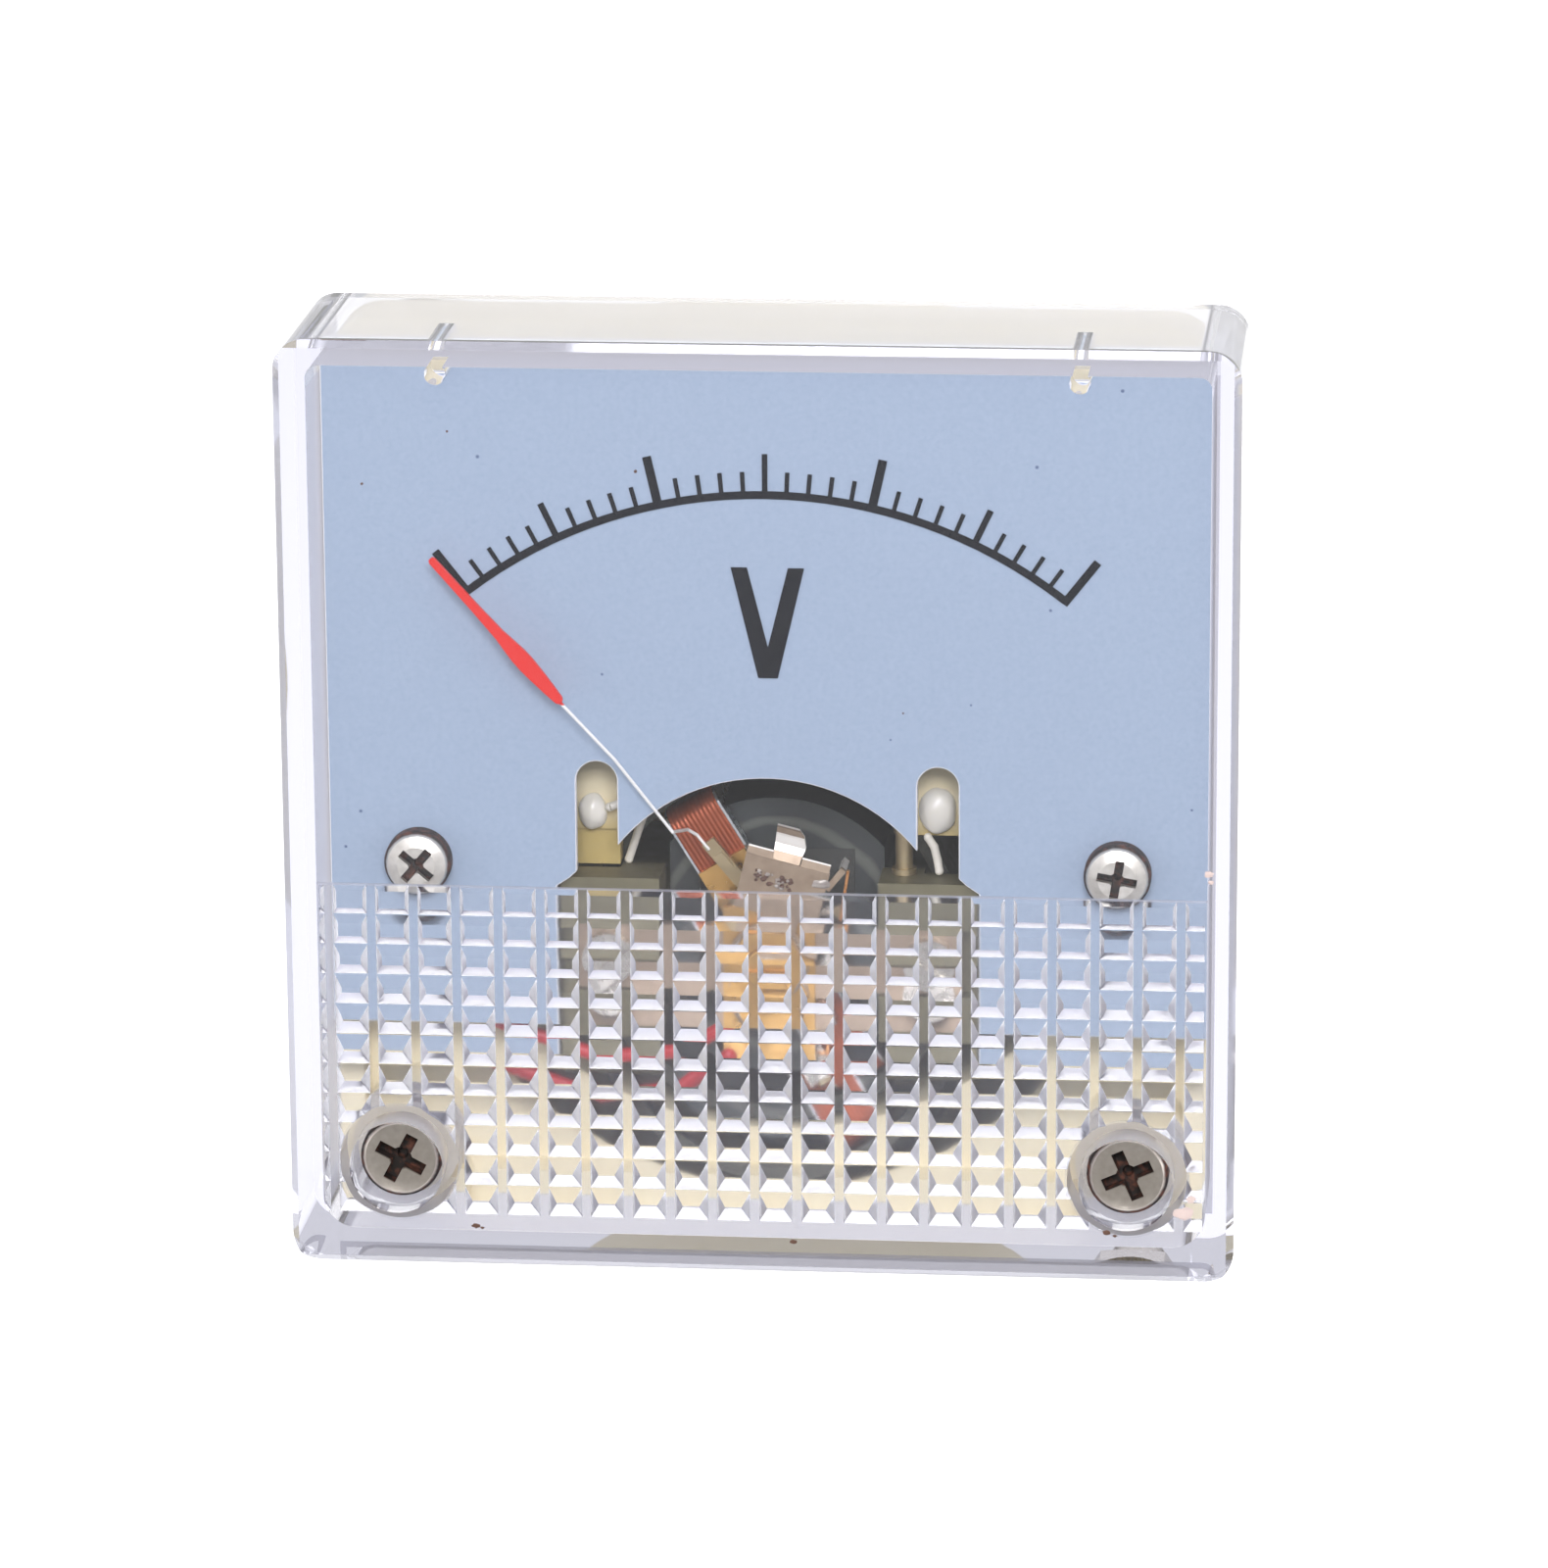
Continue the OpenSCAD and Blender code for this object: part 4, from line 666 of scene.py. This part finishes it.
FLAT_FACE = 0.99                # a normal steeper than this in Y is the face, not the edge
SWELL_PITCH = 1.3               # how often a blob's surface swells over its own radius

# solder grains lie in a band that falls to the right across the regulator's plate
GRAIN_SPAN = (-0.65, 1.35)
GRAIN_TOP = -3.93
GRAIN_FALL = 0.28
GRAIN_BAND = 0.6
GRAIN_HALF = (0.06, 0.15)
FLUX_X, FLUX_Z = 2.6, -4.62
FLUX_HALF = (0.42, 0.12, 0.2)

# centre, half-axes, unevenness and seed of each glue drop
GLUE_DROPS = {
    "left": ((-8.6, -3.1, -1.86), (0.72, 0.6, 0.86), 0.12, 3),
    "right": ((7.97, -3.1, -1.5), (0.9, 0.72, 1.12), 0.1, 5),
}

TERMINAL_RADIUS = 2 * MM        # M4
PANEL_RADIUS = 1.5 * MM         # M3
STUD_HEAD = (2.3 * MM, 1 * MM)  # radius and height of a panel stud's head
THREAD_CREASE = 50              # degrees

# x, z and half-width of each speck
COVER_SPECKS = [(-13.6, -20.5, 0.2), (-13.3, -20.6, 0.1), (1.6, -20.9, 0.17),
                (16.5, -20.05, 0.2), (16.9, -20.2, 0.1)]
DIAL_SPECKS = [(-19.1, 14.6, 0.07), (-15, 17.2, 0.06), (-6.1, 15.4, 0.08), (6.5, 3.9, 0.05)]
PALE_MARKS = [(20.2, -19, 0.4), (20.5, -18.3, 0.22), (21.2, -2.3, 0.2), (21.3, -2.7, 0.12)]
# a stain along the cover's upper edge, drawn as a row of thin drops
STAIN_COUNT = 7
STAIN_LEFT, STAIN_STEP = -20, 0.3
STAIN_Z = 22.49
STAIN_HALF = (0.19, 0.05, 0.012)


# ---- helpers for new pieces --------------------------------------------------

def metres(*lengths):
    """Lengths in millimetres as metres."""
    return tuple(length * MM for length in lengths)


def new_piece(name, shape, finishes, body="case", replaced=()):
    """Turns a bmesh into a piece that rides a body and may replace CAD nodes."""
    bmesh.ops.recalc_face_normals(shape, faces=shape.faces)
    mesh = bpy.data.meshes.new(name)
    shape.to_mesh(mesh)
    shape.free()
    for finish in finishes:
        mesh.materials.append(FINISHES[finish])
    piece = bpy.data.objects.new(name, mesh)
    bpy.context.scene.collection.objects.link(piece)
    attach(piece, body)
    if replaced:
        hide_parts(*replaced)
    return piece


def cad_copy(node):
    """The mesh of a CAD node as a bmesh in the row frame, merged."""
    shape = bmesh.new()
    shape.from_mesh(NODES[node].data)
    shape.transform(NODES[node].matrix_world)
    bmesh.ops.remove_doubles(shape, verts=shape.verts, dist=0.002 * MM)
    bmesh.ops.dissolve_limit(shape, angle_limit=math.radians(1), verts=shape.verts,
                             edges=shape.edges)
    return shape


def bevel_sharp(shape, width, angle=35, segments=2):
    """Rounds every edge sharper than an angle."""
    sharp = [edge for edge in shape.edges
             if len(edge.link_faces) == 2 and edge.calc_face_angle(0) > math.radians(angle)]
    bmesh.ops.bevel(shape, geom=sharp, offset=width, offset_type="OFFSET", affect="EDGES",
                    segments=segments, profile=0.5, material=-1, clamp_overlap=True)


def lathe(shape, profile, centre, steps=48):
    """Spins a list of (radius, y) points, in metres, about a line along Y."""
    verts = [shape.verts.new((centre[0] + r, y, centre[1])) for r, y in profile]
    edges = [shape.edges.new(pair) for pair in zip(verts, verts[1:])]
    bmesh.ops.spin(shape, geom=verts + edges, cent=(centre[0], 0, centre[1]), axis=(0, 1, 0),
                   angle=2 * math.pi, steps=steps, use_merge=True)
    bmesh.ops.remove_doubles(shape, verts=shape.verts, dist=0.001 * MM)


def add_thread(shape, radius, pitch, start, end, centre, steps=28):
    """A helical ridge round a stud, from start to end along Y, its foot sunk in the stud."""
    turns = max(1, int((end - start) / pitch))
    root = radius - 0.55 * pitch
    # two flanks and a narrow flat crest between them
    ridge = [(root, 0), (radius, 0.42 * pitch), (radius, 0.58 * pitch), (root, pitch)]
    verts = [shape.verts.new((centre[0] + r, start + y, centre[1])) for r, y in ridge]
    edges = [shape.edges.new(pair) for pair in zip(verts, verts[1:])]
    bmesh.ops.spin(shape, geom=verts + edges, cent=(centre[0], 0, centre[1]), axis=(0, 1, 0),
                   dvec=(0, pitch / steps, 0), angle=2 * math.pi * turns,
                   steps=steps * turns, use_merge=False)
    bmesh.ops.remove_doubles(shape, verts=shape.verts, dist=0.002 * MM)


def threaded_rod(shape, radius, pitch, start, end, centre):
    """A stud with a helical thread along nearly its whole length and a chamfered tip."""
    root = radius - 0.5 * pitch
    chamfer = 0.45 * radius
    tip = 0.6 * radius
    lathe(shape, [(0, start), (root, start), (root, end - chamfer), (tip, end), (0, end)],
          centre)
    add_thread(shape, radius, pitch, start + 0.1 * MM, end - 0.5 * radius, centre)


def smooth(piece, angle=35):
    """Shades a piece smooth, apart from edges sharper than an angle."""
    for face in piece.data.polygons:
        face.use_smooth = True
    piece.data.set_sharp_from_angle(angle=math.radians(angle))


def droplet(shape, centre, size, rough, seed, detail=2):
    """An uneven blob, given in metres by its centre and its three half-axes."""
    made = bmesh.ops.create_icosphere(shape, subdivisions=detail, radius=1.0)["verts"]
    chance = random.Random(seed)
    shift = Vector([chance.uniform(0, 50) for _ in range(3)])
    for vert in made:
        swell = 1 + rough * noise.noise(vert.co * SWELL_PITCH + shift)
        vert.co = Vector([c + half * swell * v for c, half, v in zip(centre, size, vert.co)])
    return made


def speckle(shape, spots, depth, thickness, height, rough, first_seed, detail=2):
    """Thin spots on a face; height is each spot's height as a share of its width."""
    for i, (x, z, half) in enumerate(spots):
        droplet(shape, (x * MM, depth, z * MM), (half * MM, thickness, half * height * MM),
                rough, first_seed + i, detail)


# ---- the steps: finishes on the CAD nodes, and the pieces made here ----------

class METER_OT_finishes(bpy.types.Operator):
    """Mixes the plastics, paints and metals that the pieces wear"""
    bl_idname = "meter.finishes"
    bl_label = "Mix the finishes"

    def execute(self, context):
        FINISHES.update(mixed_finishes(context.scene.meter_pieces))
        return {"FINISHED"}


class METER_OT_housing(bpy.types.Operator):
    """Gives the clear cover and the ivory base their plastics"""
    bl_idname = "meter.housing"
    bl_label = "Finish the housing"

    def execute(self, context):
        dress(clear=["front_cover"], ivory=["case_base"])
        return {"FINISHED"}


class METER_OT_dial(bpy.types.Operator):
    """Inks the scale and makes the painted dial sheet with its bright cut edges"""
    bl_idname = "meter.dial"
    bl_label = "Finish the dial"

    def execute(self, context):
        dress(ink=["dial_scale"])
        sheet = cad_copy("dial_plate")
        bevel_sharp(sheet, context.scene.meter_pieces.dial_edge)
        for face in sheet.faces:
            if abs(face.normal.y) < FLAT_FACE:
                face.material_index = 1
        new_piece("dial_sheet", sheet, ["dial", "cut_edge"],
                  replaced=["dial_plate"])
        return {"FINISHED"}


class METER_OT_movement(bpy.types.Operator):
    """Finishes the fixed and turning parts of the movement, and adds the solder grains"""
    bl_idname = "meter.movement"
    bl_label = "Finish the movement"

    def execute(self, context):
        dress(iron=["yoke_ring"], core=["pole_sleeve"], magnet=["core_magnet"],
              frame=["movement_frame"], warm_nickel=["front_bridge"],
              regulator=["zero_regulator"],
              brass=["bush_plate", "rear_spring_tag", "front_collet", "rear_collet",
                     "front_jewel_screw", "rear_jewel_screw", "front_lock_nut",
                     "rear_lock_nut", "front_pivot_seat", "rear_pivot_seat"],
              nickel=["movement_screws", "bridge_screws", "regulator_washer", "front_pivot",
                      "rear_pivot", "counterweights"],
              ruby=["front_jewel", "rear_jewel"], needle=["pointer"],
              holder=["pointer_holder", "lead_post"], winding=["coil_winding"],
              aluminium=["coil_former"], bronze=["front_hairspring", "rear_hairspring"])
        grains = bmesh.new()
        chance = random.Random(7)
        front = top_of("zero_regulator")
        for i in range(context.scene.meter_pieces.grain_count):
            x = chance.uniform(*GRAIN_SPAN)
            z = GRAIN_TOP - GRAIN_FALL * (x - GRAIN_SPAN[0]) - chance.uniform(0, GRAIN_BAND)
            half = chance.uniform(*GRAIN_HALF)
            made = droplet(grains, (x * MM, front - 0.04 * MM, z * MM),
                           metres(half, 0.1, half * 0.8), rough=0.5, seed=i)
            for face in {face for vert in made for face in vert.link_faces}:
                face.material_index = 0 if i % 3 == 0 else 1
        droplet(grains, (FLUX_X * MM, front - 0.02 * MM, FLUX_Z * MM), metres(*FLUX_HALF),
                rough=0.5, seed=40, detail=3)
        smooth(new_piece("solder_grains", grains, ["solder", "grime"], "regulator"))
        return {"FINISHED"}


class METER_OT_wiring(bpy.types.Operator):
    """Finishes the leads, the resistor and the inner tags, and makes the glue drops"""
    bl_idname = "meter.wiring"
    bl_label = "Finish the wiring"

    def execute(self, context):
        dress(sleeve=["lead_left", "lead_right"], red_pvc=["red_lead"],
              resistor=["series_resistor"], tin=["resistor_wires"],
              brass=["terminal_tag_left", "terminal_tag_right"])
        for side, (centre, size, rough, seed) in GLUE_DROPS.items():
            glue = bmesh.new()
            droplet(glue, metres(*centre), metres(*size), rough, seed, detail=4)
            smooth(new_piece(f"glue_drop_{side}", glue, ["glue"],
                             replaced=[f"glue_bead_{side}"]))
        return {"FINISHED"}


class METER_OT_fittings(bpy.types.Operator):
    """Finishes the screws, nuts and lugs, and makes the threaded terminals and panel studs"""
    bl_idname = "meter.fittings"
    bl_label = "Finish the fittings"

    def execute(self, context):
        dress(cover_screw=["cover_screw_left", "cover_screw_right"],
              dial_screw=["dial_screw_left", "dial_screw_right"],
              nickel=["terminal_washers", "panel_washers", "panel_nuts"],
              brass=["solder_lugs", "terminal_nuts"])
        pieces = context.scene.meter_pieces
        for side in ("left", "right"):
            node = f"terminal_stud_{side}"
            low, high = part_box(node)
            stud = bmesh.new()
            threaded_rod(stud, TERMINAL_RADIUS, pieces.terminal_pitch, low[1], high[1],
                         middle(node))
            smooth(new_piece(f"threaded_terminal_{side}", stud, ["brass"],
                             replaced=[node]), THREAD_CREASE)
        low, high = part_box("panel_studs")
        head_radius, head_height = STUD_HEAD
        half = (high[0] - low[0]) / 2 - head_radius
        studs = bmesh.new()
        for sign in (-1, 1):
            centre = (-sign * half, sign * half)
            threaded_rod(studs, PANEL_RADIUS, pieces.panel_pitch, low[1], high[1], centre)
            lathe(studs, [(0, low[1]), (head_radius, low[1]),
                          (head_radius, low[1] + head_height), (0, low[1] + head_height)], centre)
        smooth(new_piece("threaded_panel_studs", studs, ["nickel"],
                         replaced=["panel_studs"]), THREAD_CREASE)
        return {"FINISHED"}


class METER_OT_wear(bpy.types.Operator):
    """Adds the specks on the cover and the dial, the stain on the upper edge and pale marks"""
    bl_idname = "meter.wear"
    bl_label = "Add dirt and wear"

    def execute(self, context):
        front = COVER["front"]
        dark = bmesh.new()
        speckle(dark, COVER_SPECKS, depth=front + 0.005 * MM, thickness=0.012 * MM,
                height=0.6, rough=0.5, first_seed=0)
        speckle(dark, DIAL_SPECKS, depth=top_of("dial_plate") - 0.002 * MM,
                thickness=0.006 * MM, height=1, rough=0.4, first_seed=20)
        for i in range(STAIN_COUNT):
            x = STAIN_LEFT + STAIN_STEP * i
            droplet(dark, (x * MM, front + 0.34 * MM, STAIN_Z * MM), metres(*STAIN_HALF),
                    rough=0.5, seed=30 + i)
        smooth(new_piece("brown_specks", dark, ["grime"]))
        pale = bmesh.new()
        speckle(pale, PALE_MARKS, depth=front + 0.004 * MM, thickness=0.01 * MM,
                height=0.7, rough=0.7, first_seed=50, detail=3)
        smooth(new_piece("pale_marks", pale, ["dust"]))
        return {"FINISHED"}


class METER_PT_dresser(bpy.types.Panel):
    """Lists the steps that dress the meter"""
    bl_idname = "METER_PT_dresser"
    bl_label = "Panel meter"
    bl_space_type = "VIEW_3D"
    bl_region_type = "UI"
    bl_category = "Meter"

    def draw(self, context):
        for step in STEPS:
            self.layout.operator(step.bl_idname)
        for group in (context.scene.meter_pieces, context.scene.meter_stage):
            for name in group.__annotations__:
                self.layout.prop(group, name)


STEPS = (METER_OT_stage, METER_OT_finishes, METER_OT_housing, METER_OT_dial,
         METER_OT_movement, METER_OT_wiring, METER_OT_fittings, METER_OT_wear)
CLASSES = (MeterPieceSettings, MeterStageSettings, *STEPS, METER_PT_dresser)


def register():
    for cls in CLASSES:
        bpy.utils.register_class(cls)
    bpy.types.Scene.meter_pieces = PointerProperty(type=MeterPieceSettings)
    bpy.types.Scene.meter_stage = PointerProperty(type=MeterStageSettings)


def unregister():
    del bpy.types.Scene.meter_pieces
    del bpy.types.Scene.meter_stage
    for cls in reversed(CLASSES):
        bpy.utils.unregister_class(cls)


def main():
    register()
    for step in STEPS:
        group, name = step.bl_idname.split(".")
        getattr(getattr(bpy.ops, group), name)()


if __name__ == "__main__":
    main()
